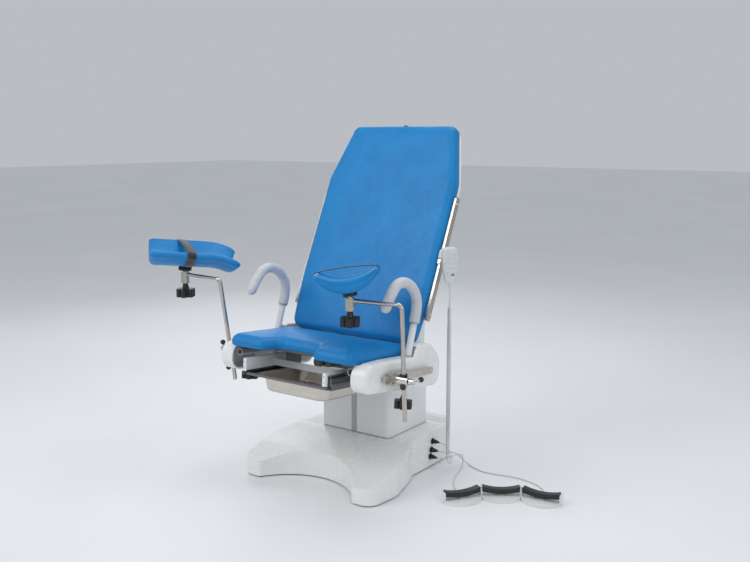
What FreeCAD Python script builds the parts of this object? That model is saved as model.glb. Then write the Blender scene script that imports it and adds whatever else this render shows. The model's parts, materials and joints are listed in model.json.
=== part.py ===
import FreeCAD
import Part
import math
import os

# Gynaecological examination chair, in millimetres.
# Origin: on the floor, on the lift column's centre line.  +Z up, the patient faces -Y,
# +X is the patient's left.  The chair stands at its lowest height with the seat tilted back.

V = FreeCAD.Vector
SIDES = (("right", 1), ("left", -1))

# ---- driving dimensions ---------------------------------------------------------------
# base
BASE_HALF = 250.0            # half width of the rear box
BASE_REAR = 200.0
BASE_TOP = 141.0             # top of the cover beside the column
BASE_GAP = 5.0               # the cover stops this far above the floor
COVER_WALL = 5.0
FOOT_FRONT = -452.0
FRONT_ARC = (-568.0, 247.0)  # centre y and radius of the concave front
PLATE_THICK = 12.0
# lift column
COLUMN_HALF_X = 163.0
COLUMN_HALF_Y = 140.0
COLUMN_BOTTOM = 144.0
COLUMN_TOP = 386.0
SKIRT_X = 150.0              # fixed inner skirt that the column cover slides over
SKIRT_Y = 127.0
MAST_TOP = 362.0
HEAD_THICK = 12.0
TILT_AXIS = (-70.0, 425.0)   # y, z of the seat's tilt shaft
TILT_SHAFT_R = 10.0
# seat unit, drawn level and then tipped back about SEAT_REF
SEAT_TILT = 5.0
SEAT_REF = (0.0, 430.0)
SEAT_HALF = 286.0
SEAT_FRONT = -545.0
SEAT_REAR = -201.0
SEAT_UNDER = 480.0
SEAT_THICK = 50.0
TUBE_X = 257.0               # the frame's two side tubes, open at the front
TUBE_Z = 453.0
TUBE_FRONT = -508.0
TUBE_R = 14.5
SOCKET_R = 10.0
SOCKET_DEPTH = 120.0
POD_IN = 274.0
POD_OUT = 338.0
POD_WALL = 4.0
POD_RECESS = 291.0           # inside this the pod's top is cut away under the cushions
RAIL_X = 355.0               # medical rail on the pod, 25 x 10 mm
RAIL_Z = 432.0
RAIL_HIGH = 25.0
RAIL_THICK = 10.0
RAIL_FRONT = -446.0
RAIL_REAR = -141.0
RAIL_POSTS = (-434.0, -200.0)
# backrest, drawn upright from its lower front edge and then reclined
BACK_TILT = 25.5
BACK_FOOT = (-187.0, 542.0)
BACK_AXIS = (-90.0, 492.0)
BACK_ARM_X = 204.0           # the backrest frame's two hinge arms
BACK_BEARING_X = 188.0
BACK_HALF_LOW = 286.0
BACK_HALF_WIDE = 302.0
BACK_HALF_TOP = 240.0
BACK_WIDE_AT = 640.0
BACK_LENGTH = 877.0
BACK_THICK = 50.0
SHELL_THICK = 52.0
# stirrups
JAW_FRONT = 28.0             # the clamp's jaw reaches this far before and behind its cross axis
JAW_REAR = 84.0
CLAMP_KNOB_BACK = 70.0       # clamp knob behind the cross axis
ROD_X = 398.0
ROD_R = 8.0
ARM_LENGTH = 202.0
ROD_LENGTH = 410.0
CLAMP_Z = 432.0
# each stirrup: clamp y, rod lean, rod above the axis, arm swivel, pad yaw, tee bar's run and offset
STIRRUP = {
    "right": {"y": -391.0, "lean": 3.2, "above": 262.0, "swivel": 6.2, "pad_yaw": 36.0,
              "tee_along": V(0, 0.9998, 0.02), "tee_slid": V(0, 0, -6)},
    "left": {"y": -409.5, "lean": 9.9, "above": 286.0, "swivel": -3.7, "pad_yaw": -39.0,
             "tee_along": V(0, -0.25, 0.9682), "tee_slid": V(0, 7, -27)},
}
TEE_REACH = 55.0             # half the length of the tee handle's sliding bar
PAD_WIDE = 220.0
PAD_HIGH = 77.0
PAD_FOAM = 43.0
PAD_FRONT = -140.0           # pad's ends and the start of its drooping lip, from the ball joint
PAD_LIP = 84.0
PAD_REAR = 172.0
LIP_BEND_R = 170.0
LIP_DROP = 28.0              # degrees
PAD_PITCH = 5.0              # front end up
PAD_ROLL = 7.5
BALL_R = 10.0
BALL_RISE = 20.0             # ball's centre above the arm's centre line
PAD_SEAT = 34.0              # pad's underside above the arm's centre line
STAR_R = 36.0
# grips
GRIP_X = 312.0
GRIP_TUBE_R = 12.5
GRIP_FOAM_R = 19.0
FLANGE_AT = 47.0             # distance of the grip's flange from the tube's foot
# tray
TRAY_BRACKET = (176.0, 190.0)
TRAY_FRONT = -557.0
TRAY_REAR = -327.0
PAN_HALF = 150.0
PAN_RIM = 165.0
PAN_FRONT = -524.0
PAN_REAR = -262.0
PAN_RIM_Z = 388.0
PAN_DEPTH = 62.0
PAN_WALL = 1.5
# handset and foot control
HANDSET_AT = (345.0, -6.0, 812.0)
HANDSET_SIZE = (60.0, 22.0, 136.0)
HANDSET_YAW = 50.0
PEDALS = (                   # bar centre x, y and heading of the bar in degrees
    ("left", 518.0, -192.0, 57.0),
    ("middle", 620.0, -88.0, 33.0),
    ("right", 757.0, -40.0, 7.0),
)
PEDAL_LONG = 134.0
PEDAL_WIDE = 27.0
# cords
CORD_R = 2.5
COIL_R = 8.5
COIL_AT = (345.0, -4.0)
COIL_TOP = 656.0
COIL_BOTTOM = 70.0


# ---- helpers --------------------------------------------------------------------------
def box(x0, x1, y0, y1, z0, z1):
    return Part.makeBox(x1 - x0, y1 - y0, z1 - z0, V(x0, y0, z0))


def rod(radius, start, end):
    start = V(*start)
    along = V(*end) - start
    return Part.makeCylinder(radius, along.Length, start, along)


def towards(start, end):
    """Unit vector from one (u, v) point to the next."""
    reach = math.dist(start[:2], end[:2])
    return ((end[0] - start[0]) / reach, (end[1] - start[1]) / reach)


def rounded_corner(before, corner, after):
    """Start, middle and end of the arc that rounds one (u, v, radius) corner."""
    u, v, radius = corner
    if radius == 0:
        return (u, v), (u, v), (u, v)
    back, ahead = towards(corner, before), towards(corner, after)
    half = math.acos(back[0] * ahead[0] + back[1] * ahead[1]) / 2
    trim = radius / math.tan(half)
    bisector = math.hypot(back[0] + ahead[0], back[1] + ahead[1])
    reach = (radius / math.sin(half) - radius) / bisector
    return ((u + back[0] * trim, v + back[1] * trim),
            (u + (back[0] + ahead[0]) * reach, v + (back[1] + ahead[1]) * reach),
            (u + ahead[0] * trim, v + ahead[1] * trim))


def rounded_wire(corners, place):
    """Closed wire through (u, v, radius) corners; place(u, v) gives the point in space."""
    count = len(corners)
    arcs = [rounded_corner(corners[i - 1], corners[i], corners[(i + 1) % count]) for i in range(count)]
    edges = []
    for i, (start, middle, end) in enumerate(arcs):
        if corners[i][2] > 0:
            edges.append(Part.Arc(place(*start), place(*middle), place(*end)).toShape())
        following = arcs[(i + 1) % count][0]
        if math.dist(end, following) > 1e-6:
            edges.append(Part.LineSegment(place(*end), place(*following)).toShape())
    return Part.Wire(edges)


def plan_prism(corners, z0, z1):
    """Outline drawn in XY, raised from z0 to z1."""
    face = Part.Face(rounded_wire(corners, lambda u, v: V(u, v, z0)))
    return face.extrude(V(0, 0, z1 - z0))


def side_prism(corners, x0, x1):
    """Outline drawn in YZ, widened from x0 to x1."""
    face = Part.Face(rounded_wire(corners, lambda u, v: V(x0, u, v)))
    return face.extrude(V(x1 - x0, 0, 0))


def front_prism(corners, y0, y1):
    """Outline drawn in XZ, deepened from y0 to y1."""
    face = Part.Face(rounded_wire(corners, lambda u, v: V(u, y0, v)))
    return face.extrude(V(0, y1 - y0, 0))


def both_sides(half):
    """The right half's (x, y, r) corners followed by their mirror images, as one outline."""
    return half + [(-x, y, r) for x, y, r in reversed(half)]


def mirrored(shape):
    return shape.mirror(V(0, 0, 0), V(1, 0, 0))


def joined(first, *others):
    return first.fuse(list(others)).removeSplitter()


def edges_where(shape, test):
    return [edge for edge in shape.Edges if test(edge)]


def turned(shape, centre, axis, angle):
    copy = shape.copy()
    copy.rotate(V(*centre), V(*axis), angle)
    return copy


def tip_seat(shape):
    """From the level seat drawing to the tipped-back rest position."""
    return turned(shape, (0, *SEAT_REF), (1, 0, 0), -SEAT_TILT)


def seat_point(y, z):
    """A rest-position point, in the level seat drawing."""
    tilt = math.radians(SEAT_TILT)
    dy, dz = y - SEAT_REF[0], z - SEAT_REF[1]
    return (SEAT_REF[0] + dy * math.cos(tilt) - dz * math.sin(tilt),
            SEAT_REF[1] + dy * math.sin(tilt) + dz * math.cos(tilt))


def rest_point(y, z):
    """A point of the level seat drawing, in the rest position."""
    tilt = math.radians(SEAT_TILT)
    dy, dz = y - SEAT_REF[0], z - SEAT_REF[1]
    return (SEAT_REF[0] + dy * math.cos(tilt) + dz * math.sin(tilt),
            SEAT_REF[1] - dy * math.sin(tilt) + dz * math.cos(tilt))


def lean_back(shape):
    """From the upright backrest drawing to its reclined rest position."""
    copy = turned(shape, (0, 0, 0), (1, 0, 0), -BACK_TILT)
    copy.translate(V(0, *BACK_FOOT))
    return copy


def back_point(y, z):
    """A rest-position point, in the upright backrest drawing."""
    tilt = math.radians(BACK_TILT)
    dy, dz = y - BACK_FOOT[0], z - BACK_FOOT[1]
    return (dy * math.cos(tilt) - dz * math.sin(tilt), dy * math.sin(tilt) + dz * math.cos(tilt))


def save(node, *shapes):
    shape = shapes[0] if len(shapes) == 1 else Part.makeCompound(list(shapes))
    if not shape.isValid():
        print("not valid:", node)
    shape.exportStep("parts/" + node + ".step")


# ---- base -----------------------------------------------------------------------------
def base_outline(inset):
    half = [
        (FRONT_ARC[1] - 20 - inset, FOOT_FRONT + inset, 0),
        (303 - inset, FOOT_FRONT + inset, 48 - inset),
        (316 - inset, -310, 120),
        (282 - inset, -185, 90),
        (BASE_HALF + 9 - inset, -122 - inset, 6),
        (BASE_HALF - inset, -114 - inset, 3),
        (BASE_HALF - inset, BASE_REAR - inset, 46 - inset),
    ]
    return both_sides(half)


def base_solid(inset, bottom, lower_top):
    """The base cover's outer form, or its hollow when inset."""
    body = plan_prism(base_outline(inset), bottom, 200)
    body = body.cut(rod(FRONT_ARC[1] + inset, (0, FRONT_ARC[0], -1), (0, FRONT_ARC[0], 201)))
    profile = [
        (FOOT_FRONT - 60, -20, 0),
        (FOOT_FRONT - 60, 45 - lower_top, 0),
        (-330, 100 - lower_top, 260),
        (-158, BASE_TOP - lower_top, 160),
        (148, BASE_TOP - lower_top, 12),
        (172, BASE_TOP + 17 - lower_top, 12),
        (BASE_REAR + 60, BASE_TOP + 17 - lower_top, 0),
        (BASE_REAR + 60, -20, 0),
    ]
    return body.common(side_prism(profile, -400, 400))


def make_base_cover():
    outer = base_solid(0, BASE_GAP, 0)
    inner_tips = edges_where(outer, lambda e: e.BoundBox.XLength < 0.1 and e.BoundBox.YLength < 0.1
                             and e.BoundBox.YMax < FOOT_FRONT + 1 and abs(e.BoundBox.XMax) < 240)
    outer = outer.makeFillet(18, inner_tips)
    cover = outer.cut(base_solid(COVER_WALL, -1, COVER_WALL))
    cover = cover.cut(box(-SKIRT_X - 2, SKIRT_X + 2, -SKIRT_Y - 2, SKIRT_Y + 2, 100, 200))
    inlet_hole = box(-128, -92, BASE_REAR - 10, BASE_REAR + 5, 46, 76)
    cover = cover.cut(inlet_hole)
    for y, z in CONNECTORS:
        cover = cover.cut(rod(9, (BASE_HALF - 10, y, z), (BASE_HALF + 5, y, z)))
    save("base_cover", cover)


def make_base_plate():
    plate = plan_prism(base_outline(9), 0, PLATE_THICK)
    plate = plate.cut(rod(FRONT_ARC[1] + 9, (0, FRONT_ARC[0], -1), (0, FRONT_ARC[0], 30)))
    save("base_plate", plate)


CONNECTORS = ((38, 102), (28, 70), (22, 44))   # y, z of the three sockets on the side wall


def make_connectors():
    """Three round sockets in the base's side wall, each with a collar outside."""
    sockets = []
    for y, z in CONNECTORS:
        barrel = rod(8.8, (BASE_HALF - 18, y, z), (BASE_HALF + 0.2, y, z))
        collar = rod(12, (BASE_HALF + 0.2, y, z), (BASE_HALF + 4, y, z))
        sockets.append(joined(barrel, collar).cut(rod(5.5, (BASE_HALF - 10, y, z), (BASE_HALF + 5, y, z))))
    save("side_connectors", *sockets)
    plugs = []
    for y, z in CONNECTORS:
        pin = rod(5.4, (BASE_HALF - 8, y, z), (BASE_HALF + 4.2, y, z))
        grip = rod(8, (BASE_HALF + 4.2, y, z), (BASE_HALF + 18, y, z))
        nose = Part.makeCone(6, 3.6, 14, V(BASE_HALF + 18, y, z), V(1, 0, 0))
        plugs.append(joined(pin, grip, nose))
    save("cord_plugs", *plugs)


def make_inlet():
    """Appliance inlet in the rear wall: a flanged shell with its three pins."""
    x0, x1, z0, z1 = -127.5, -92.5, 46.5, 75.5
    shell = box(x0, x1, BASE_REAR - 25, BASE_REAR + 0.2, z0, z1)
    flange = box(x0 - 8, x1 + 8, BASE_REAR + 0.2, BASE_REAR + 3, z0 - 4, z1 + 4)
    shell = joined(shell, flange).cut(box(x0 + 5, x1 - 5, BASE_REAR - 20, BASE_REAR + 5, z0 + 5, z1 - 5))
    pins = [box(x - 1, x + 1, BASE_REAR - 22, BASE_REAR - 4, z - 2, z + 2)
            for x, z in ((-117, 58), (-103, 58), (-110, 65))]
    save("mains_inlet", joined(shell, *pins))


def make_lower_column():
    """Fixed mast with the skirt that shows when the chair is raised."""
    mast = box(-90, 90, -76, 76, PLATE_THICK, MAST_TOP).cut(box(-84, 84, -70, 70, 0, MAST_TOP + 1))
    skirt = box(-SKIRT_X, SKIRT_X, -SKIRT_Y, SKIRT_Y, PLATE_THICK, MAST_TOP)
    skirt = skirt.cut(box(-SKIRT_X + 3, SKIRT_X - 3, -SKIRT_Y + 3, SKIRT_Y - 3, 0, MAST_TOP - 4))
    skirt = skirt.cut(box(-84, 84, -70, 70, 0, MAST_TOP + 1))
    save("lower_column", joined(mast, skirt))


def make_upper_column():
    """Inner tube with its head plate and the two lugs of the tilt shaft."""
    inner = box(-80, 80, -66, 66, 26, COLUMN_TOP).cut(box(-74, 74, -60, 60, 0, COLUMN_TOP + 1))
    head = plan_prism(both_sides([(150, -125, 12), (150, 125, 12)]), COLUMN_TOP, COLUMN_TOP + HEAD_THICK)
    foot_z = COLUMN_TOP + HEAD_THICK - 1
    y, z = TILT_AXIS
    outline = [(y - 24, foot_z, 0), (y - 20, z + 18, 14), (y + 20, z + 18, 14), (y + 24, foot_z, 0)]
    lugs = [side_prism(outline, x - 5, x + 5) for x in (-100, 100)]
    upper = joined(inner, head, *lugs)
    save("upper_column", upper.cut(rod(TILT_SHAFT_R + 0.06, (-130, y, z), (130, y, z))))


def make_lift_drive():
    """Screw drive inside the mast: its body stands on the base plate and its piston carries the head."""
    body = rod(26, (0, 0, PLATE_THICK), (0, 0, 320))
    motor = rod(22, (0, 34, PLATE_THICK), (0, 34, 120))
    bore = rod(15.1, (0, 0, PLATE_THICK + 8), (0, 0, 321))
    save("lift_actuator", joined(body, motor).cut(bore))
    save("lift_piston", rod(15, (0, 0, 24), (0, 0, COLUMN_TOP - 0.05)))


def make_column_cover():
    half_x, half_y = COLUMN_HALF_X, COLUMN_HALF_Y
    outer = plan_prism(both_sides([(half_x, -half_y, 20), (half_x, half_y, 20)]), COLUMN_BOTTOM, COLUMN_TOP)
    hollow = plan_prism(both_sides([(half_x - 3, -half_y + 3, 17), (half_x - 3, half_y - 3, 17)]),
                        COLUMN_BOTTOM - 1, COLUMN_TOP - 3)
    cover = outer.cut(hollow).cut(box(-80.5, 80.5, -66.5, 66.5, 300, 400))
    save("column_cover", cover)
    save("column_strip", box(-12, 12, -half_y - 1.5, -half_y - 0.01, COLUMN_BOTTOM + 1, COLUMN_TOP - 2))


def make_control_box():
    """Control electronics behind the mast, under the base cover."""
    save("control_box", joined(box(-90, 90, 134, 178, PLATE_THICK, 92), box(-78, 78, 138, 174, 92, 104)))


# ---- seat unit ------------------------------------------------------------------------
def make_seat_frame():
    """Two side tubes with open front ends, cross members, seat plate, tilt cheeks and hinge bearings."""
    axis_y, axis_z = seat_point(*TILT_AXIS)
    hinge_y, hinge_z = seat_point(*BACK_AXIS)
    plate = box(-TUBE_X + 2, TUBE_X - 2, -505, -206, 475, 479.5).cut(box(-128, 128, -506, -452, 470, 490))
    cross = [box(-TUBE_X, TUBE_X, -400, -370, 458, 476), box(-TUBE_X, TUBE_X, -240, -210, 446, 476),
             box(-TUBE_X, TUBE_X, -176, -150, 440, 468)]
    cheek = [(-240, 450, 0), (-240, 468, 0), (axis_y + 22, 468, 10), (axis_y + 22, axis_z - 18, 14),
             (axis_y - 22, axis_z - 18, 14), (-130, 430, 10)]
    bearing = [(-176, 445, 0), (-176, 467, 0), (hinge_y - 20, hinge_z + 18, 14),
               (hinge_y + 20, hinge_z + 18, 14), (hinge_y + 18, 445, 10)]
    pieces = [plate, rod(TILT_SHAFT_R, (-123, axis_y, axis_z), (123, axis_y, axis_z))] + cross
    foot, knee = grip_points()[:2]
    along = (V(*knee) - V(*foot)).normalize()
    for side in (1, -1):
        pieces.append(rod(TUBE_R, (side * TUBE_X, TUBE_FRONT, TUBE_Z), (side * TUBE_X, -150, TUBE_Z)))
        pieces.append(side_prism(cheek, side * 117 - 6, side * 117 + 6))
        pieces.append(side_prism(bearing, side * BACK_BEARING_X - 5, side * BACK_BEARING_X + 5))
    arms = [box(TUBE_X, POD_OUT - 10.1, y - 10, y + 10, 424, 447) for y in RAIL_POSTS]
    arms.append(box(TUBE_X, GRIP_X - 8, -262, -236, 444, 460))
    arms.append(Part.makeCylinder(15.5, 20, V(*foot) + along * 4, along))
    pieces.extend(arms + [mirrored(arm) for arm in arms])
    frame = joined(pieces[0], *pieces[1:])
    grip_bore = Part.makeCylinder(GRIP_TUBE_R + 0.05, 60, V(*foot) - along * 10, along)
    frame = frame.cut(grip_bore).cut(mirrored(grip_bore))
    for side in (1, -1):
        mouth = (side * TUBE_X, TUBE_FRONT - 1, TUBE_Z)
        frame = frame.cut(rod(SOCKET_R, mouth, (side * TUBE_X, TUBE_FRONT + SOCKET_DEPTH, TUBE_Z)))
        frame = frame.cut(rod(9.06, (side * 180, hinge_y, hinge_z), (side * 200, hinge_y, hinge_z)))
    save("seat_frame", tip_seat(frame))


def make_seat_cushion():
    """Cushion with a scooped front centre."""
    plan = both_sides([
        (82, SEAT_FRONT + 78, 40),
        (122, SEAT_FRONT, 26),
        (SEAT_HALF - 6, SEAT_FRONT, 34),
        (SEAT_HALF + 2, -440, 60),
        (SEAT_HALF - 6, SEAT_REAR, 24),
    ])
    cushion = plan_prism(plan, SEAT_UNDER, SEAT_UNDER + SEAT_THICK)
    top_rim = edges_where(cushion, lambda e: e.BoundBox.ZMin > SEAT_UNDER + SEAT_THICK - 0.1)
    cushion = cushion.makeFillet(18, top_rim)
    save("seat_cushion", tip_seat(cushion))


POD_OUTLINE = [            # y, z, radius in the level drawing, front lobe first
    (-528, 386, 44),
    (-300, 373, 300),
    (-52, 360, 40),
    (-50, 470, 70),
    (-120, 524, 50),
    (-208, 529, 24),
    (-240, 487, 18),
    (-400, 489, 60),
    (-530, 484, 50),
]


def pod_outline(inset):
    centre = (-290.0, 430.0)
    shrunk = []
    for y, z, radius in POD_OUTLINE:
        step_y = inset if y < centre[0] else -inset
        step_z = inset if z < centre[1] else -inset
        shrunk.append((y + step_y, z + step_z, max(radius - inset, 4)))
    return shrunk


def make_pods():
    """Side covers: hollow shells, open towards the seat frame."""
    outer = side_prism(pod_outline(0), POD_IN, POD_OUT)
    rim = edges_where(outer, lambda e: e.BoundBox.XMin > POD_OUT - 0.1)
    outer = outer.makeFillet(17, rim)
    pod = outer.cut(side_prism(pod_outline(POD_WALL + 2), POD_IN - 1, POD_OUT - POD_WALL - 6))
    foot, knee = grip_points()[:2]
    along = (V(*knee) - V(*foot)).normalize()
    pod = pod.cut(rod(GRIP_TUBE_R + 0.8, foot, knee))
    pod = pod.cut(Part.makeCylinder(20, 60, V(*foot) + along * (FLANGE_AT - 0.1), along))
    pod = pod.cut(box(POD_IN - 1, POD_RECESS, -560, SEAT_REAR + 8, SEAT_UNDER - 0.5, 560))
    pod = pod.cut(box(POD_IN - 1, POD_RECESS, SEAT_REAR, -100, 508, 560))
    for y in RAIL_POSTS:
        pod = pod.cut(rod(5.3, (POD_IN, y, RAIL_Z), (POD_OUT + 1, y, RAIL_Z)))
    save("pod_right", tip_seat(pod))
    save("pod_left", tip_seat(mirrored(pod)))


def make_pod_rails():
    """A 25 x 10 mm side rail on each pod, held off by two stand-offs."""
    half = RAIL_HIGH / 2
    bar = side_prism([(RAIL_FRONT, RAIL_Z - half, 4), (RAIL_REAR, RAIL_Z - half, 11),
                      (RAIL_REAR, RAIL_Z + half, 11), (RAIL_FRONT, RAIL_Z + half, 4)],
                     RAIL_X - RAIL_THICK / 2, RAIL_X + RAIL_THICK / 2)
    bar = bar.cut(rod(4, (RAIL_X - 9, -158, RAIL_Z), (RAIL_X + 9, -158, RAIL_Z)))
    posts = [rod(5, (POD_OUT - 10, y, RAIL_Z), (RAIL_X - 4, y, RAIL_Z)) for y in RAIL_POSTS]
    head = rod(4.5, (RAIL_X + 4, RAIL_POSTS[1], RAIL_Z), (RAIL_X + RAIL_THICK / 2 + 2, RAIL_POSTS[1], RAIL_Z))
    rail = joined(bar, *posts, head)
    save("pod_rails", tip_seat(rail), tip_seat(mirrored(rail)))


def make_tilt_actuator():
    """Linear drive under the seat plate, its motor lying beside it."""
    body = rod(19, (0, -366, 436), (0, -248, 426))
    motor = rod(16, (42, -356, 437), (42, -290, 431))
    bridge = box(0, 42, -344, -322, 424, 444)
    save("tilt_actuator", tip_seat(joined(body, motor, bridge)))


def grip_points():
    """Centre line of the right grip in the level drawing: tube foot, foam start, bend points, tip."""
    return [
        (GRIP_X, -253, 440),
        (GRIP_X, -212, 606),
        (GRIP_X, -202, 650),
        (GRIP_X, -206, 694),
        (GRIP_X, -240, 735),
        (GRIP_X, -290, 754),
        (GRIP_X, -336, 746),
        (GRIP_X, -370, 712),
        (GRIP_X, -397, 672),
    ]


def smooth_tube(points, radius):
    """Round bar along a smooth curve through the points."""
    curve = Part.BSplineCurve()
    curve.interpolate([V(*p) for p in points])
    path = Part.Wire([curve.toShape()])
    ring = Part.Wire([Part.Circle(V(*points[0]), V(*points[1]) - V(*points[0]), radius).toShape()])
    return path.makePipeShell([ring], True, False)


def make_grips():
    """Each grip is a bent tube with a flange on the side cover, and a foam sleeve."""
    points = grip_points()
    foot, knee = points[0], points[1]
    tube = rod(GRIP_TUBE_R, foot, knee)
    along = V(*knee) - V(*foot)
    along.normalize()
    flange = Part.makeCylinder(19, 4, V(*foot) + along * FLANGE_AT, along)
    foam = smooth_tube(points[1:], GRIP_FOAM_R)
    tip_ball = Part.makeSphere(GRIP_FOAM_R - 0.02, V(*points[-1]))
    foam = foam.fuse(tip_ball)
    stem = joined(tube, flange)
    save("grip_right", tip_seat(stem), tip_seat(foam))
    save("grip_left", tip_seat(mirrored(stem)), tip_seat(mirrored(foam)))


# ---- tray -----------------------------------------------------------------------------
def side_bar(side, x0, x1, y0, y1, z0, z1):
    """Box given for the right side, or its mirror image."""
    low, high = sorted((side * x0, side * x1))
    return box(low, high, y0, y1, z0, z1)


def make_tray():
    """Bracket sheets under the seat, and telescopic slides with the basin's carrier between them."""
    in_x, out_x = TRAY_BRACKET
    brackets, outers, mids, inners = [], [], [], []
    for side in (1, -1):
        web = side_bar(side, out_x - 2, out_x, TRAY_FRONT, TRAY_REAR + 4, 398, 444)
        nose = side_bar(side, in_x, out_x, TRAY_FRONT, TRAY_FRONT + 2, 398, 444)
        lip = side_bar(side, in_x, out_x, TRAY_FRONT, TRAY_REAR + 4, 442, 444)
        hanger = side_bar(side, out_x - 2, out_x, -402, -368, 444, 457.9)
        brackets.append(joined(web, nose, lip, hanger))
        outer = side_bar(side, out_x + 0.01, out_x + 13, -545, -230, 390, 435)
        outers.append(outer.cut(side_bar(side, out_x + 1.5, out_x + 14, -546, -229, 391.5, 433.5)))
        mid = side_bar(side, out_x + 3, out_x + 12, -543, -235, 394, 431)
        mids.append(mid.cut(side_bar(side, out_x + 4.5, out_x + 13, -544, -234, 395.5, 429.5)))
        inner = side_bar(side, out_x + 6, out_x + 14, -541, -240, 398, 427)
        angle = side_bar(side, out_x + 14, out_x + 16, -541, -240, 384, 408)
        shelf = side_bar(side, 158, out_x + 16, -541, -240, 384, 386)
        inners.append(joined(inner, angle, shelf))
    cross = box(-out_x, out_x, -394, -391, 401, 426)
    save("tray_brackets", tip_seat(joined(brackets[0], brackets[1], cross)))
    save("tray_outer_slides", *[tip_seat(piece) for piece in outers])
    save("tray_mid_slides", *[tip_seat(piece) for piece in mids])
    front_bar = box(-186, 186, -541, -531, 382, 391)
    rear_bar = box(-186, 186, -250, -240, 378, 384)
    save("tray_carrier", tip_seat(joined(inners[0], inners[1], front_bar, rear_bar)))


def pan_body(half, front, rear, top, bottom, corner):
    """Tapered pan form between its rim outline and a smaller floor."""
    slope = 9.0
    rim = both_sides([(half, front, corner), (half, rear, corner)])
    floor = both_sides([(half - slope, front + slope, corner), (half - slope, rear - slope, corner)])
    upper = rounded_wire(rim, lambda u, v: V(u, v, top))
    lower = rounded_wire(floor, lambda u, v: V(u, v, bottom))
    return Part.makeLoft([upper, lower], True, True)


def make_basin():
    outer = pan_body(PAN_HALF, PAN_FRONT + 14, PAN_REAR - 14, PAN_RIM_Z, PAN_RIM_Z - PAN_DEPTH, 42)
    floor_edges = edges_where(outer, lambda e: e.BoundBox.ZMax < PAN_RIM_Z - PAN_DEPTH + 0.1)
    outer = outer.makeFillet(14, floor_edges)
    inner = pan_body(PAN_HALF - PAN_WALL, PAN_FRONT + 14 + PAN_WALL, PAN_REAR - 14 - PAN_WALL,
                     PAN_RIM_Z + 3, PAN_RIM_Z - PAN_DEPTH + PAN_WALL, 42 - PAN_WALL)
    inner_floor = edges_where(inner, lambda e: e.BoundBox.ZMax < PAN_RIM_Z - PAN_DEPTH + PAN_WALL + 0.1)
    inner = inner.makeFillet(13, inner_floor)
    rim_outline = both_sides([(PAN_RIM, PAN_FRONT, 30), (PAN_RIM, PAN_REAR, 30)])
    rim = plan_prism(rim_outline, PAN_RIM_Z - PAN_WALL, PAN_RIM_Z)
    save("basin", tip_seat(joined(outer, rim).cut(inner)))


# ---- backrest -------------------------------------------------------------------------
def back_outline(inset, low=0.0):
    return both_sides([
        (BACK_HALF_LOW - inset, low + inset, 44),
        (BACK_HALF_WIDE - inset, 200, 300),
        (BACK_HALF_WIDE - inset, BACK_WIDE_AT, 120),
        (BACK_HALF_TOP - inset, BACK_LENGTH - inset, 32),
    ])


def make_backrest():
    """Cushion and the hollow shell behind it, with the two hinge domes."""
    cushion = front_prism(back_outline(0), 0, BACK_THICK)
    front_rim = edges_where(cushion, lambda e: e.BoundBox.YMax < 0.1)
    cushion = cushion.makeFillet(16, front_rim)
    save("backrest_cushion", lean_back(cushion))
    shell_corners = both_sides([
        (232, 62, 30),
        (240, 112, 30),
        (BACK_HALF_WIDE - 14, 140, 40),
        (BACK_HALF_WIDE - 12, BACK_WIDE_AT - 4, 120),
        (BACK_HALF_TOP - 8, BACK_LENGTH - 8, 34),
    ])
    shell = front_prism(shell_corners, BACK_THICK + 0.5, BACK_THICK + SHELL_THICK)
    rear_rim = edges_where(shell, lambda e: e.BoundBox.YMin > BACK_THICK + SHELL_THICK - 0.1)
    shell = shell.makeFillet(26, rear_rim)
    hollow_corners = [(x - math.copysign(14, x), z + (14 if z < 400 else -14), max(r - 8, 8))
                      for x, z, r in shell_corners]
    hollow = front_prism(hollow_corners, BACK_THICK, BACK_THICK + SHELL_THICK - 6)
    shell = shell.cut(hollow)
    for side in (1, -1):
        shell = shell.cut(box(side * BACK_ARM_X - 7, side * BACK_ARM_X + 7, 58, 120, 50, 100))
    save("backrest_shell", lean_back(joined(shell, *[hinge_dome(side) for side in (1, -1)])))


def hinge_dome(side):
    """Round cover of the backrest's hinge with the web that joins it to the shell."""
    y, z = back_point(*BACK_AXIS)
    web = [(y - 36, z + 4, 8), (BACK_THICK + 4, 112, 10), (BACK_THICK + 4, 150, 4),
           (BACK_THICK + 36, 150, 10), (y + 30, z + 26, 12)]
    inner, outer = 239, 264
    low, high = sorted((side * inner, side * outer))
    return joined(rod(40, (side * inner, y, z), (side * outer, y, z)), side_prism(web, low, high))


def make_backrest_frame():
    """Two steel arms from the hinge up behind the cushion, a cross tube, and the hinge stubs."""
    y, z = back_point(*BACK_AXIS)
    outline = [(y - 16, z - 16, 14), (y + 18, z - 16, 14), (92, 70, 10), (92, 640, 4),
               (66, 640, 4), (66, 90, 20), (y - 18, z + 18, 12)]
    pieces = [box(-BACK_ARM_X, BACK_ARM_X, 68, 90, low, low + 24) for low in (150, 600)]
    for side in (1, -1):
        pieces.append(side_prism(outline, side * BACK_ARM_X - 4, side * BACK_ARM_X + 4))
        pieces.append(rod(9, (side * 181, y, z), (side * BACK_ARM_X, y, z)))
    save("backrest_frame", lean_back(joined(pieces[0], *pieces[1:])))


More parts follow.
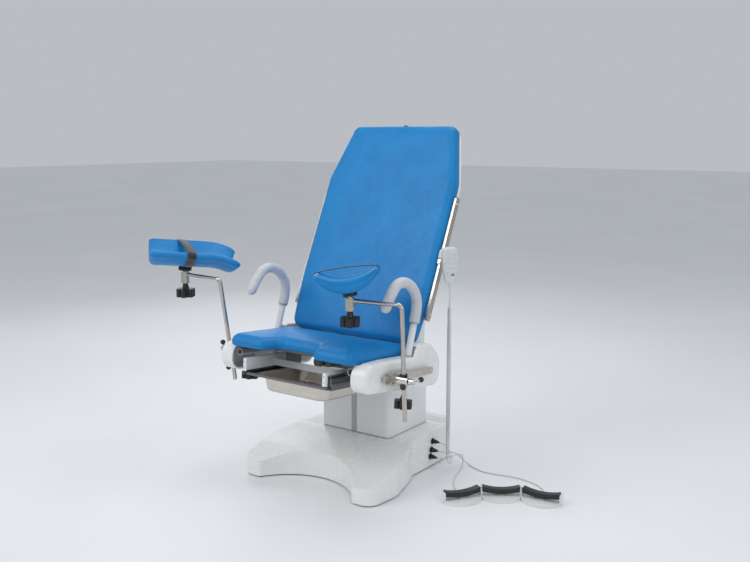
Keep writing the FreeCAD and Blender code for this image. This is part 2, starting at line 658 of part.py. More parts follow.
def make_back_rails():
    """The backrest's 25 x 10 mm rails, each on two spacers with cap screws, and a stop for the handset."""
    front, rear, low, high = 28, 53, 100, 588
    bar = box(305.5, 315.5, front, rear, low, high)
    ends = edges_where(bar, lambda e: e.BoundBox.XLength > 9 and e.BoundBox.YLength < 0.1
                       and (e.BoundBox.ZMax > high - 1 or e.BoundBox.ZMin < low + 1))
    bar = bar.makeFillet(7, ends)
    spacers = [rod(6, (BACK_HALF_WIDE + 0.05, 45, z), (306, 45, z)) for z in (122, 560)]
    screws = [rod(4.5, (315, y, z), (317.5, y, z)) for z in (122, 560) for y in (34, 47)]
    rail = joined(bar, *spacers, *screws)
    stop = box(304, 317, 22, 28.5, 318, 336)
    save("back_rails", lean_back(joined(rail, stop)), lean_back(mirrored(rail)))


def make_back_actuator():
    """Linear drive behind the backrest's lower end."""
    body = rod(17, (60, 74, 174.2), (60, 74, 420))
    motor = rod(14, (96, 76, 190), (96, 76, 300))
    bridge = box(58, 98, 66, 86, 204, 230)
    save("back_actuator", lean_back(joined(body, motor, bridge)))


# ---- stirrups -------------------------------------------------------------------------
def star_knob(stem_r, stem_len, hub_len, star_len, star_r, lobes=6):
    """Star knob with its stem up from z = 0; the hub and the star hang below."""
    stem = rod(stem_r, (0, 0, -1), (0, 0, stem_len))
    hub = Part.makeCone(9, 14, hub_len, V(0, 0, 0), V(0, 0, -1))
    core = rod(star_r - 11, (0, 0, -hub_len - star_len), (0, 0, -hub_len + 1))
    arms = []
    for i in range(lobes):
        angle = 2 * math.pi * i / lobes
        x, y = (star_r - 11) * math.cos(angle), (star_r - 11) * math.sin(angle)
        arms.append(rod(11, (x, y, -hub_len - star_len), (x, y, -hub_len)))
    return joined(stem, hub, core, *arms)


def placed(shape, point):
    copy = shape.copy()
    copy.translate(V(*point))
    return copy


def make_clamp(name, side, y):
    """Rail clamp: a jaw round the rail, its star knob below, the serrated joint and the rod holder."""
    half = RAIL_HIGH / 2 + 0.3
    inner, outer = RAIL_X - RAIL_THICK / 2 - 0.3, RAIL_X + RAIL_THICK / 2 + 0.3
    front, rear = y - JAW_FRONT, y + JAW_REAR
    jaw = box(RAIL_X - 10, RAIL_X + 13, front, rear, RAIL_Z - 22, RAIL_Z + 20)
    jaw = jaw.cut(box(inner, outer, front - 1, rear + 1, RAIL_Z - half, RAIL_Z + half))
    jaw = jaw.cut(box(RAIL_X - 11, inner + 1, front - 1, rear + 1, RAIL_Z - 7, RAIL_Z + 7))
    knob_y = y + CLAMP_KNOB_BACK
    jaw = jaw.cut(rod(5.05, (RAIL_X, knob_y, RAIL_Z - 30), (RAIL_X, knob_y, RAIL_Z - half)))
    disc = rod(17, (RAIL_X + 12.5, y, RAIL_Z), (RAIL_X + 21, y, RAIL_Z))
    jaw = joined(jaw, disc)
    screw = rod(5, (0, 0, -48), (0, 0, 8))
    star = placed(star_knob(5, 1, 16, 28, STAR_R - 2), (0, 0, -47.5))
    knob = placed(joined(screw, star), (RAIL_X, knob_y, RAIL_Z - 22.5))
    for node, shape in (("clamp_" + name, jaw), ("clamp_knob_" + name, knob)):
        save(node, tip_seat(shape if side > 0 else mirrored(shape)))


def rod_frame(name):
    """Clamp axis point, rod direction, arm direction and arm end for one stirrup, on the right side."""
    data = STIRRUP[name]
    y, z = rest_point(data["y"], CLAMP_Z)
    lean, swivel = math.radians(data["lean"]), math.radians(data["swivel"])
    centre = V(ROD_X, y, z)
    up = V(0, -math.sin(lean), math.cos(lean))
    forward = V(0, -math.cos(lean), -math.sin(lean))
    inward = V(-1, 0, 0) if name == "right" else V(1, 0, 0)
    arm = inward * math.cos(swivel) + forward * math.sin(swivel)
    corner = centre + up * data["above"]
    return centre, up, arm, corner, corner + arm * ARM_LENGTH


def make_stirrup(name, side):
    """Rod holder, tee handle, cranked rod, knob, ball stud and pad of one stirrup."""
    data = STIRRUP[name]
    centre, up, arm, corner, tip = rod_frame(name)
    _, y, z = centre

    def export(node, *shapes):
        save(node + "_" + name, *[shape if side > 0 else mirrored(shape) for shape in shapes])

    # serrated disc and rod holder on the clamp's cross axis
    serrated = rod(17, (RAIL_X + 21.3, y, z), (RAIL_X + 27, y, z))
    holder = joined(serrated, rod(16, (RAIL_X + 27, y, z), (420, y, z)))
    bore = up * 40
    holder = holder.cut(Part.makeCylinder(11.05, 80, centre - bore, up))
    holder = holder.cut(rod(5.05, (405, y, z), (421, y, z)))
    export("rod_holder", holder)
    sleeve = Part.makeCylinder(11, 37, centre - up * 18.5, up)
    collars = [Part.makeCylinder(14, 3.5, centre + up * rise, up) for rise in (17.6, -21.1)]
    sleeve = joined(sleeve, *collars).cut(Part.makeCylinder(ROD_R + 0.05, 60, centre - up * 30, up))
    export("rod_collet", sleeve)
    # tee handle
    along, bar_middle = data["tee_along"], V(432, y, z) + data["tee_slid"]
    bar_ends = [bar_middle - along * TEE_REACH, bar_middle + along * TEE_REACH]
    bolt = joined(rod(5, (409.5, y, z), (424, y, z)), rod(11, (422, y, z), (441, y, z)),
                  rod(3.5, tuple(bar_ends[0]), tuple(bar_ends[1])),
                  *[Part.makeSphere(9.5, end) for end in bar_ends])
    export("tee_handle", bolt)
    # rod, bend and arm
    bend = 16.0
    straight = Part.makeCylinder(ROD_R, ROD_LENGTH - bend, corner - up * ROD_LENGTH, up)
    middle = corner - up * bend + arm * bend
    mid_dir = (up - arm).normalize()
    arc = Part.Arc(corner - up * bend, middle + mid_dir * bend, corner + arm * bend).toShape()
    ring = Part.Wire([Part.Circle(corner - up * bend, up, ROD_R).toShape()])
    elbow = Part.Wire([arc]).makePipeShell([ring], True, False)
    reach = Part.makeCylinder(ROD_R - 1, ARM_LENGTH - bend - 8, corner + arm * bend, arm)
    housing = Part.makeCylinder(16, 46, tip + V(0, 0, -36), V(0, 0, 1))
    housing = joined(housing, reach)
    housing = housing.cut(Part.makeCylinder(8.05, 40, tip + V(0, 0, -20), V(0, 0, 1)))
    housing = housing.cut(Part.makeCylinder(6.05, 20, tip + V(0, 0, -37), V(0, 0, 1)))
    export("stirrup_rod", joined(straight, elbow, housing))
    # knob, ball stud and pad
    knob = star_knob(6, 12, 22, 32, STAR_R + 1)
    export("pad_knob", placed(knob, tip + V(0, 0, -36.5)))
    stud = Part.makeCylinder(8, BALL_RISE + 12, tip + V(0, 0, -18), V(0, 0, 1))
    export("pad_ball", joined(stud, Part.makeSphere(BALL_R, tip + V(0, 0, BALL_RISE))))
    yaw = data["pad_yaw"] if side > 0 else -data["pad_yaw"]
    make_pad(export, tip, yaw)


def pad_face():
    """Crescent section of a leg pad in the plane of its front end, x outward, lowest point at z = 0."""
    y, half, high = PAD_FRONT, PAD_WIDE / 2, PAD_HIGH
    outer = Part.Arc(V(-half, y, high - 8), V(0, y, 0), V(half, y, high - 8)).toShape()
    right = Part.Arc(V(half, y, high - 8), V(half - 6, y, high + 1), V(half - 20, y, high)).toShape()
    inner = Part.Arc(V(half - 20, y, high), V(0, y, PAD_FOAM), V(-half + 20, y, high)).toShape()
    left = Part.Arc(V(-half + 20, y, high), V(-half + 6, y, high + 1), V(-half, y, high - 8)).toShape()
    return Part.Wire([outer, right, inner, left])


def pad_form():
    """The crescent swept along the leg, with a drooping lip at the body end."""
    drop = math.radians(LIP_DROP)
    bend_y = PAD_LIP + LIP_BEND_R * math.sin(drop)
    bend_z = -LIP_BEND_R * (1 - math.cos(drop))
    half_y = PAD_LIP + LIP_BEND_R * math.sin(drop / 2)
    half_z = -LIP_BEND_R * (1 - math.cos(drop / 2))
    end_z = bend_z - (PAD_REAR - bend_y) * math.tan(drop)
    run = Part.LineSegment(V(0, PAD_FRONT, 0), V(0, PAD_LIP, 0)).toShape()
    bend = Part.Arc(V(0, PAD_LIP, 0), V(0, half_y, half_z), V(0, bend_y, bend_z)).toShape()
    lip = Part.LineSegment(V(0, bend_y, bend_z), V(0, PAD_REAR, end_z)).toShape()
    return Part.Wire([run, bend, lip]).makePipeShell([pad_face()], True, False)


def strap_ring(grow, y0, y1):
    """Closed band round the pad's section, that far outside it."""
    half, low, high = PAD_WIDE / 2 + grow, -grow, PAD_HIGH + grow
    bottom = Part.Arc(V(-half, y0, high - 10), V(0, y0, low), V(half, y0, high - 10)).toShape()
    outer = Part.Arc(V(half, y0, high - 10), V(half - 5, y0, high + 2), V(half - 18, y0, high + 3)).toShape()
    across = Part.Arc(V(half - 18, y0, high + 3), V(0, y0, high + 9), V(-half + 18, y0, high + 3)).toShape()
    corner = V(-half + 5, y0, high + 2)
    inner = Part.Arc(V(-half + 18, y0, high + 3), corner, V(-half, y0, high - 10)).toShape()
    return Part.Face(Part.Wire([bottom, outer, across, inner])).extrude(V(0, y1 - y0, 0))


def make_pad(export, tip, yaw):
    """Leg pad with its ball socket below, and the strap between them; drawn along Y, then turned."""
    ball_z = BALL_RISE - PAD_SEAT
    pad = pad_form()
    strap = strap_ring(3.2, -14, 14).cut(strap_ring(0.6, -30, 30))
    socket = Part.makeCylinder(26, 12, V(0, 0, ball_z - 4.5))
    bosses = [Part.makeCylinder(4, -3 - ball_z, V(0, y, ball_z + 3)) for y in (-20, 20)]
    socket = joined(socket, *bosses).cut(Part.makeSphere(BALL_R + 0.06, V(0, 0, ball_z)))
    socket = socket.cut(Part.makeCylinder(13, 6, V(0, 0, ball_z - 9)))
    placed_parts = []
    for part in (pad, socket, strap):
        part = turned(part, (0, 0, ball_z), (0, 1, 0), -PAD_ROLL)
        part = turned(part, (0, 0, ball_z), (1, 0, 0), -PAD_PITCH)
        part = turned(part, (0, 0, 0), (0, 0, 1), yaw)
        placed_parts.append(placed(part, tip + V(0, 0, PAD_SEAT)))
    export("pad", placed_parts[0], placed_parts[1])
    export("pad_strap", placed_parts[2])


# ---- handset, foot control and cords --------------------------------------------------
def make_handset():
    """Handset with its cord's strain relief, hooked on the backrest's right rail."""
    wide, thick, high = HANDSET_SIZE
    half = wide / 2
    outline = both_sides([(half - 16, -high / 2, 9), (half - 4, -high / 2 + 44, 40),
                          (half, high / 2 - 30, 30), (half - 6, high / 2, 14)])
    body = front_prism(outline, -thick / 2, thick / 2)
    rim = edges_where(body, lambda e: e.BoundBox.YMax < -thick / 2 + 0.1)
    body = body.makeFillet(5, rim)
    gland = Part.makeCone(5, 3.2, 12, V(0, 0, -high / 2 + 1), V(0, 0, -1))
    body = joined(body, gland)
    body.rotate(V(0, 0, 0), V(0, 0, 1), HANDSET_YAW)
    body.translate(V(*HANDSET_AT))
    # hook: a plate on the rail's outer face with lips over both edges of the rail
    hook = box(316, 322, 20, 61, 340, 372)
    hook = joined(hook, box(303.5, 317, 20, 27.6, 340, 372), box(303.5, 317, 53.4, 61, 340, 372))
    hook = lean_back(hook)
    neck = box(318, 334, -10, 10, 838, 862)
    save("handset", joined(body, hook, neck))


def pedal_place(shape, x, y, heading):
    copy = shape.copy()
    copy.rotate(V(0, 0, 0), V(0, 0, 1), heading)
    copy.translate(V(x, y, 0))
    return copy


def make_foot_control():
    """Three rockers on half-round plates, welded in one row."""
    plates = []
    half = PEDAL_LONG / 2
    for name, x, y, heading in PEDALS:
        front = Part.Ellipse(V(0, 0, 0), half + 7, 62)
        lobe = Part.Face(Part.Wire([front.toShape()])).extrude(V(0, 0, 10))
        lobe = lobe.common(box(-100, 100, -100, 2, -1, 20))
        back = plan_prism(both_sides([(half + 7, 0, 0), (half + 3, 20, 8)]), 0, 10)
        ears = [box(side * (half + 5) - 2, side * (half + 5) + 2, -14, 16, 9, 40) for side in (1, -1)]
        pivot = box(-9, 9, -8, 8, 9, 14.4)
        plates.append(pedal_place(joined(lobe, back, pivot, *ears), x, y, heading))
        top_dip = Part.Arc(V(-half, -14, 44), V(0, -14, 34), V(half, -14, 44)).toShape()
        below = [(half, 44), (half, 24), (0, 15), (-half, 24), (-half, 44)]
        lines = [Part.LineSegment(V(a[0], -14, a[1]), V(b[0], -14, b[1])).toShape()
                 for a, b in zip(below, below[1:])]
        bar = Part.Face(Part.Wire([top_dip] + lines)).extrude(V(0, PEDAL_WIDE, 0))
        save("rocker_" + name, pedal_place(bar, x, y, heading))
    save("foot_base", *plates)


def cord_tube(node, points, radius):
    """Tube along straight runs joined by tangent arcs, each as large as its two runs allow."""
    stops = [V(*p) for p in points]
    edges, radii = [], []
    here = stops[0]
    for before, at, after in zip(stops, stops[1:], stops[2:]):
        into, out = at - before, after - at
        turn = into.getAngle(out)
        shorter = min(into.Length, out.Length)
        trim = 0.45 * shorter
        radius_here = trim / math.tan(turn / 2)
        into.normalize()
        out.normalize()
        first, last = at - into * trim, at + out * trim
        inward = (out - into).normalize()
        middle = at + inward * (radius_here / math.cos(turn / 2) - radius_here)
        edges.append(Part.LineSegment(here, first).toShape())
        edges.append(Part.Arc(first, middle, last).toShape())
        radii.append(round(radius_here))
        here = last
    edges.append(Part.LineSegment(here, stops[-1]).toShape())
    path = Part.Wire(edges)
    length = path.Length
    ring = Part.Wire([Part.Circle(stops[0], stops[1] - stops[0], radius).toShape()])
    tube = path.makePipeShell([ring], True, False)
    ratio = tube.Volume / (math.pi * radius ** 2 * length)
    print(node, "length", round(length), "radii", radii, "volume ratio", round(ratio, 4))
    save(node, tube)


PLUG_END = BASE_HALF + 32.0
HANDSET_TAIL = [
    (345.0, -6.0, 733.0),
    (345.0, -6.0, 716.0),
    (347.5, -2.0, 697.0),
    (345.0, -4.0, 677.0),
    (345.0, -4.0, 656.0),
]
HANDSET_LEAD = [
    (345.0, -4.0, 70.0),
    (345.0, -4.0, 52.0),
    (343.0, 11.0, 36.0),
    (341.0, 31.0, 38.0),
    (337.0, 42.0, 58.0),
    (322.0, 44.0, 84.0),
    (306.0, 38.0, 102.0),
    (PLUG_END, 38.0, 102.0),
]
FOOT_CORD_LEFT = [
    (PLUG_END, 22.0, 44.0),
    (304.0, 22.0, 44.0),
    (322.0, 36.0, 46.0),
    (345.0, 62.0, 60.0),
    (354.0, 92.0, 54.0),
    (352.0, 106.0, 24.0),
    (354.0, 92.0, 3.5),
    (366.0, 54.0, 2.6),
    (378.0, 6.0, 2.6),
    (398.0, -44.0, 2.6),
    (424.0, -90.0, 2.6),
    (450.0, -126.0, 3.5),
    (482.0, -152.0, 6.0),
]
FOOT_CORD_RIGHT = [
    (PLUG_END, 28.0, 70.0),
    (306.0, 28.0, 70.0),
    (328.0, 54.0, 70.0),
    (336.0, 88.0, 52.0),
    (340.0, 124.0, 18.0),
    (366.0, 128.0, 2.6),
    (404.0, 104.0, 2.6),
    (452.0, 90.0, 2.6),
    (506.0, 96.0, 2.6),
    (560.0, 110.0, 2.6),
    (616.0, 108.0, 2.6),
    (668.0, 94.0, 2.6),
    (712.0, 66.0, 2.6),
    (738.0, 26.0, 3.5),
    (750.0, -12.0, 6.0),
]


def make_cords():
    cord_tube("handset_cord_top", HANDSET_TAIL, CORD_R)
    save("handset_coil", rod(COIL_R, (*COIL_AT, COIL_BOTTOM), (*COIL_AT, COIL_TOP)))
    cord_tube("handset_cord_base", HANDSET_LEAD, CORD_R)
    cord_tube("foot_cord_left", FOOT_CORD_LEFT, CORD_R)
    cord_tube("foot_cord_right", FOOT_CORD_RIGHT, CORD_R)


def main():
    os.makedirs("parts", exist_ok=True)
    make_base_cover()
    make_base_plate()
    make_connectors()
    make_inlet()
    make_lower_column()
    make_upper_column()
    make_lift_drive()
    make_column_cover()
    make_control_box()
    make_seat_frame()
    make_seat_cushion()
    make_pods()
    make_pod_rails()
    make_tilt_actuator()
    make_grips()
    make_tray()
    make_basin()
    make_backrest()
    make_backrest_frame()
    make_back_rails()
    make_back_actuator()
    for name, side in SIDES:
        make_clamp(name, side, STIRRUP[name]["y"])
        make_stirrup(name, side)
    make_handset()
    make_foot_control()
    make_cords()


main()
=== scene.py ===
import json
import math

import bmesh
import bpy
from mathutils import Matrix, Vector, noise
from mathutils.kdtree import KDTree


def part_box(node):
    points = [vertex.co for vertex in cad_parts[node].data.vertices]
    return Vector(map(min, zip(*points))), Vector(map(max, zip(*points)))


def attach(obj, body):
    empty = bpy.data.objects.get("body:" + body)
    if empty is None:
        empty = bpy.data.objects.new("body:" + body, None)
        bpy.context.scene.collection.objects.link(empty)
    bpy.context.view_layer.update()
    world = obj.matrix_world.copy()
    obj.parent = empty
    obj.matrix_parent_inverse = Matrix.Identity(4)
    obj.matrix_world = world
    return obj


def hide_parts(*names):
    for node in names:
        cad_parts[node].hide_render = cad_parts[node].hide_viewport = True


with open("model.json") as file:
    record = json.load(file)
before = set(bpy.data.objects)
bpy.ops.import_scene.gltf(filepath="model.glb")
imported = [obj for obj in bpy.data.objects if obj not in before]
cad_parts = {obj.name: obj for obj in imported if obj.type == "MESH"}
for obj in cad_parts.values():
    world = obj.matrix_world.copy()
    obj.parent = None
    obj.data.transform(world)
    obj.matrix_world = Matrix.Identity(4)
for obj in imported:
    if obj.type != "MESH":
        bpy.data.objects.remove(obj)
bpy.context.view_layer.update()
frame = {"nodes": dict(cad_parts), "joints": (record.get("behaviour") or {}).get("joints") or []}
NODES = frame["nodes"]
JOINTS = {joint["name"]: joint for joint in frame["joints"]}
SIDES = (("right", 1), ("left", -1))

# ---- sizes, in metres, as in the CAD source ------------------------------------------------
SEAT_REF_Z = 0.430
SEAT_TILT = math.radians(5.0)
SEAT_UNDER = 0.480
SEAT_HALF = 0.286
SEAT_FRONT = -0.545
SEAT_REAR = -0.201
BACK_TILT = math.radians(25.5)
BACK_FOOT = (-0.187, 0.542)
BACK_THICK = 0.050
PAD_HALF = 0.110
PAD_HIGH = 0.077
PAD_FOAM = 0.043
PAD_FRONT = -0.140
PAD_LIP = 0.084
PAD_REAR = 0.172
LIP_BEND_R = 0.170
PAD_PITCH = math.radians(5.0)
PAD_ROLL = math.radians(7.5)
PAD_ABOVE_BALL = 0.014
GRIP_X = 0.312
GRIP_LINE = [(-0.253, 0.440), (-0.212, 0.606), (-0.202, 0.650), (-0.206, 0.694), (-0.240, 0.735),
             (-0.290, 0.754), (-0.336, 0.746), (-0.370, 0.712), (-0.397, 0.672)]
GRIP_TUBE_R = 0.0125
GRIP_FOAM_R = 0.019
FLANGE_AT = 0.047
TEE_X = 0.432
TEE_BALL_CAD_R = 0.0095
TEE_BALL_R = 0.0100
STRAP_HALF_WIDE = 0.017
STRAP_SLANT = 0.014
STRAP_SAG = 0.006
SECTION_STEPS = 26
TIP_ANGLES = (-1.05, -0.52, 0.0, 0.52, 1.05)
SCREW_THREAD_PITCH = 0.0015
FLOOR_HALF = 30.0
HANDSET_AT = (0.345, -0.006, 0.812)
HANDSET_YAW = math.radians(50.0)
HANDSET_THICK = 0.022
DOME_REACH = 0.120
COIL_R = 0.006
COIL_PITCH = 0.0056
CORD_R = 0.0025
PLUG_END = 0.282


def seat_at(x, y, z):
    """A point of the level seat drawing, in the rest position."""
    up = z - SEAT_REF_Z
    return Vector((x, y * math.cos(SEAT_TILT) + up * math.sin(SEAT_TILT),
                   SEAT_REF_Z - y * math.sin(SEAT_TILT) + up * math.cos(SEAT_TILT)))


def back_at(x, y, z):
    """A point of the upright backrest drawing, in the reclined rest position."""
    return Vector((x, BACK_FOOT[0] + y * math.cos(BACK_TILT) + z * math.sin(BACK_TILT),
                   BACK_FOOT[1] - y * math.sin(BACK_TILT) + z * math.cos(BACK_TILT)))


# ---- material building ---------------------------------------------------------------------
class Shader:
    """A Principled material with short calls for the nodes that vary it."""

    def __init__(self, name):
        self.material = bpy.data.materials.new(name)
        self.material.use_nodes = True
        self.nodes = self.material.node_tree.nodes
        self.links = self.material.node_tree.links
        self.base = self.nodes["Principled BSDF"]
        self.place = self.nodes.new("ShaderNodeTexCoord").outputs["Object"]
        self.normal = None

    def scaled(self, scale):
        mapping = self.nodes.new("ShaderNodeMapping")
        mapping.inputs["Scale"].default_value = scale
        self.links.new(self.place, mapping.inputs["Vector"])
        return mapping.outputs["Vector"]

    def noise(self, scale, detail=4.0, stretch=(1, 1, 1)):
        node = self.nodes.new("ShaderNodeTexNoise")
        node.inputs["Scale"].default_value = scale
        node.inputs["Detail"].default_value = detail
        self.links.new(self.scaled(stretch), node.inputs["Vector"])
        return node.outputs["Fac"]

    def cells(self, scale, feature="SMOOTH_F1"):
        node = self.nodes.new("ShaderNodeTexVoronoi")
        node.feature = feature
        node.inputs["Scale"].default_value = scale
        self.links.new(self.place, node.inputs["Vector"])
        return node.outputs["Distance"]

    def wave(self, scale, axis):
        node = self.nodes.new("ShaderNodeTexWave")
        node.bands_direction = axis
        node.inputs["Scale"].default_value = scale
        self.links.new(self.place, node.inputs["Vector"])
        return node.outputs["Fac"]

    def spread(self, factor, low, high):
        node = self.nodes.new("ShaderNodeMapRange")
        node.inputs["From Min"].default_value = 0.3
        node.inputs["From Max"].default_value = 0.7
        node.inputs["To Min"].default_value = low
        node.inputs["To Max"].default_value = high
        self.links.new(factor, node.inputs["Value"])
        return node.outputs["Result"]

    def colour(self, factor, first, second):
        node = self.nodes.new("ShaderNodeMix")
        node.data_type = "RGBA"
        self.links.new(self.spread(factor, 0.0, 1.0), node.inputs[0])
        node.inputs[6].default_value = (*first, 1)
        node.inputs[7].default_value = (*second, 1)
        self.links.new(node.outputs[2], self.base.inputs["Base Color"])

    def roughness(self, factor, low, high):
        self.links.new(self.spread(factor, low, high), self.base.inputs["Roughness"])

    def bump(self, height, depth, strength=1.0):
        node = self.nodes.new("ShaderNodeBump")
        node.inputs["Distance"].default_value = depth
        node.inputs["Strength"].default_value = strength
        self.links.new(height, node.inputs["Height"])
        if self.normal is not None:
            self.links.new(self.normal, node.inputs["Normal"])
        self.normal = node.outputs["Normal"]
        self.links.new(self.normal, self.base.inputs["Normal"])

    def rounded_edges(self, radius):
        node = self.nodes.new("ShaderNodeBevel")
        node.samples = 4
        node.inputs["Radius"].default_value = radius
        self.normal = node.outputs["Normal"]
        self.links.new(self.normal, self.base.inputs["Normal"])

    def set(self, **values):
        for name, value in values.items():
            self.base.inputs[name.replace("_", " ")].default_value = value


def tint(colour, factor):
    return tuple(min(1.0, channel * factor) for channel in colour)


def vinyl():
    """Coated upholstery: fine leather grain, a soft sheen and slightly uneven dye."""
    blue = (0.0, 0.205, 0.53)
    s = Shader("upholstery_blue")
    s.colour(s.noise(9.0), tint(blue, 0.92), (0.002, 0.225, 0.57))
    s.roughness(s.noise(60.0), 0.40, 0.52)
    s.bump(s.cells(900.0), 0.00012, 0.5)
    s.bump(s.noise(420.0), 0.00010, 0.5)
    s.bump(s.noise(14.0), 0.0010, 0.35)
    s.set(Specular_IOR_Level=0.36)
    return s.material


def moulded(name, colour, rough, grain=700.0, depth=0.00003, round_edges=0.0):
    """Moulded plastic or paint with an orange-peel skin and faint handling marks."""
    s = Shader(name)
    if round_edges:
        s.rounded_edges(round_edges)
    s.colour(s.noise(6.0), tint(colour, 0.95), tint(colour, 1.03))
    s.roughness(s.noise(35.0), rough - 0.05, rough + 0.06)
    s.bump(s.noise(grain), depth, 0.25)
    s.bump(s.noise(12.0), depth * 4, 0.2)
    return s.material


def brushed(name, colour, rough, along, round_edges=0.0008):
    """Brushed metal, its scratches running along one axis."""
    stretch = tuple(0.03 if axis == along else 1.0 for axis in "xyz")
    s = Shader(name)
    s.rounded_edges(round_edges)
    s.colour(s.noise(500.0, 6.0, stretch), tint(colour, 0.86), tint(colour, 1.06))
    s.roughness(s.noise(300.0, 6.0, stretch), rough - 0.08, rough + 0.1)
    s.bump(s.noise(900.0, 6.0, stretch), 0.00003, 0.5)
    s.set(Metallic=1.0, Anisotropic=0.35)
    return s.material


def foam_skin():
    s = Shader("grip_foam")
    s.colour(s.noise(40.0), (0.56, 0.57, 0.585), (0.66, 0.67, 0.68))
    s.roughness(s.noise(80.0), 0.72, 0.86)
    s.bump(s.cells(1400.0), 0.00025, 0.6)
    s.bump(s.noise(200.0), 0.0003, 0.4)
    s.set(Sheen_Weight=0.15)
    return s.material


def webbing():
    """Woven strap: ribs across it and a finer crossing thread."""
    s = Shader("strap_black")
    s.colour(s.noise(120.0), (0.010, 0.010, 0.011), (0.026, 0.026, 0.028))
    s.roughness(s.noise(150.0), 0.62, 0.80)
    s.bump(s.wave(260.0, "DIAGONAL"), 0.0004, 0.8)
    s.bump(s.wave(420.0, "Z"), 0.0002, 0.6)
    s.set(Sheen_Weight=0.3)
    return s.material


def keypad_foil():
    s = Shader("keypad_foil")
    s.colour(s.noise(25.0), (0.60, 0.63, 0.66), (0.66, 0.69, 0.72))
    s.roughness(s.noise(60.0), 0.30, 0.42)
    s.bump(s.noise(900.0), 0.00002, 0.5)
    return s.material


def floor_paint():
    s = Shader("studio_floor")
    s.colour(s.noise(0.7), (0.80, 0.81, 0.83), (0.84, 0.85, 0.86))
    s.roughness(s.noise(3.0), 0.45, 0.6)
    return s.material


BLUE = vinyl()
SHELL = moulded("white_shell", (0.84, 0.84, 0.825), 0.26)
ENAMEL = moulded("white_enamel", (0.82, 0.825, 0.82), 0.34, round_edges=0.0012)
STRIP = moulded("strip_grey", (0.42, 0.45, 0.48), 0.45)
FRAME_PAINT = moulded("frame_paint", (0.30, 0.31, 0.33), 0.5, 300.0, 0.00006, 0.001)
PLATE = moulded("plate_steel", (0.05, 0.05, 0.055), 0.6, 300.0, 0.00006, 0.001)
STEEL = brushed("stainless", (0.60, 0.555, 0.50), 0.33, "y")
ROD_STEEL = brushed("rod_steel", (0.56, 0.515, 0.46), 0.30, "z")
PAN_STEEL = brushed("pan_steel", (0.66, 0.61, 0.55), 0.30, "x")
BRIGHT = brushed("polished_steel", (0.72, 0.70, 0.67), 0.16, "y")
SLIDE = brushed("slide_steel", (0.23, 0.235, 0.24), 0.38, "y")
BLACK = moulded("black_plastic", (0.014, 0.014, 0.015), 0.42, 500.0, 0.00010, 0.0015)
WHITE = moulded("white_plastic", (0.78, 0.79, 0.78), 0.30, round_edges=0.0015)
FOAM = foam_skin()
STRAP = webbing()
CORD = moulded("cord_grey", (0.66, 0.665, 0.65), 0.48, 1500.0, 0.00003)
HANDSET = moulded("handset_grey", (0.68, 0.70, 0.70), 0.40, 1200.0, 0.00006, 0.001)
FOIL = keypad_foil()
KEY_DARK = moulded("key_print", (0.10, 0.13, 0.20), 0.4)
DRIVE = moulded("drive_grey", (0.20, 0.205, 0.215), 0.45, 400.0, 0.00008, 0.001)

NODE_MATERIALS = {
    "base_plate": PLATE, "base_cover": SHELL, "lower_column": ENAMEL, "lift_actuator": DRIVE,
    "lift_piston": BRIGHT, "control_box": BLACK, "mains_inlet": BLACK, "side_connectors": BLACK,
    "cord_plugs": BLACK, "foot_base": WHITE, "rocker_left": BLACK, "rocker_middle": BLACK,
    "rocker_right": BLACK, "column_cover": ENAMEL, "column_strip": STRIP, "upper_column": FRAME_PAINT,
    "seat_frame": FRAME_PAINT, "pod_left": SHELL, "pod_right": SHELL, "pod_rails": STEEL,
    "tray_brackets": ENAMEL, "tray_outer_slides": SLIDE, "tray_mid_slides": SLIDE,
    "tray_carrier": SLIDE, "basin": PAN_STEEL, "tilt_actuator": DRIVE, "backrest_shell": SHELL,
    "backrest_frame": FRAME_PAINT, "back_rails": ROD_STEEL, "back_actuator": DRIVE,
    "handset": HANDSET,
}
for side_name, _ in SIDES:
    NODE_MATERIALS.update({
        "clamp_" + side_name: STEEL, "clamp_knob_" + side_name: BLACK,
        "rod_holder_" + side_name: BRIGHT, "tee_handle_" + side_name: BRIGHT,
        "rod_collet_" + side_name: BLACK, "stirrup_rod_" + side_name: ROD_STEEL,
        "pad_knob_" + side_name: BLACK, "pad_ball_" + side_name: BRIGHT,
    })


def dress_nodes():
    for node, material in NODE_MATERIALS.items():
        for material_slot in NODES[node].material_slots:
            material_slot.material = material


# ---- mesh building -------------------------------------------------------------------------
def new_object(name, vertices, faces, material, body):
    mesh = bpy.data.meshes.new(name)
    mesh.from_pydata([tuple(v) for v in vertices], [], faces)
    mesh.validate()
    work = bmesh.new()
    work.from_mesh(mesh)
    bmesh.ops.recalc_face_normals(work, faces=work.faces)
    work.to_mesh(mesh)
    work.free()
    mesh.materials.append(material)
    for polygon in mesh.polygons:
        polygon.use_smooth = True
    piece = bpy.data.objects.new(name, mesh)
    bpy.context.scene.collection.objects.link(piece)
    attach(piece, body)
    return piece


def loft(rings, caps=True):
    """Vertices and faces of a closed form through rings of equal point count."""
    count = len(rings[0])
    vertices = [point for ring in rings for point in ring]
    faces = []
    for i in range(len(rings) - 1):
        for j in range(count):
            k = (j + 1) % count
            faces.append((i * count + j, i * count + k, (i + 1) * count + k, (i + 1) * count + j))
    if caps:
        faces.append(tuple(range(count)))
        faces.append(tuple(range((len(rings) - 1) * count, len(rings) * count)))
    return vertices, faces


def turned_form(profile, segments=32):
    """Lathe (r, z) stations about Z."""
    rings = [[Vector((r * math.cos(2 * math.pi * i / segments), r * math.sin(2 * math.pi * i / segments), z))
              for i in range(segments)] for r, z in profile]
    return loft(rings)


def along_frame(origin, direction):
    """Matrix that takes +Z to a direction and the origin to a point."""
    turn = Vector((0, 0, 1)).rotation_difference(Vector(direction))
    return Matrix.Translation(origin) @ turn.to_matrix().to_4x4()


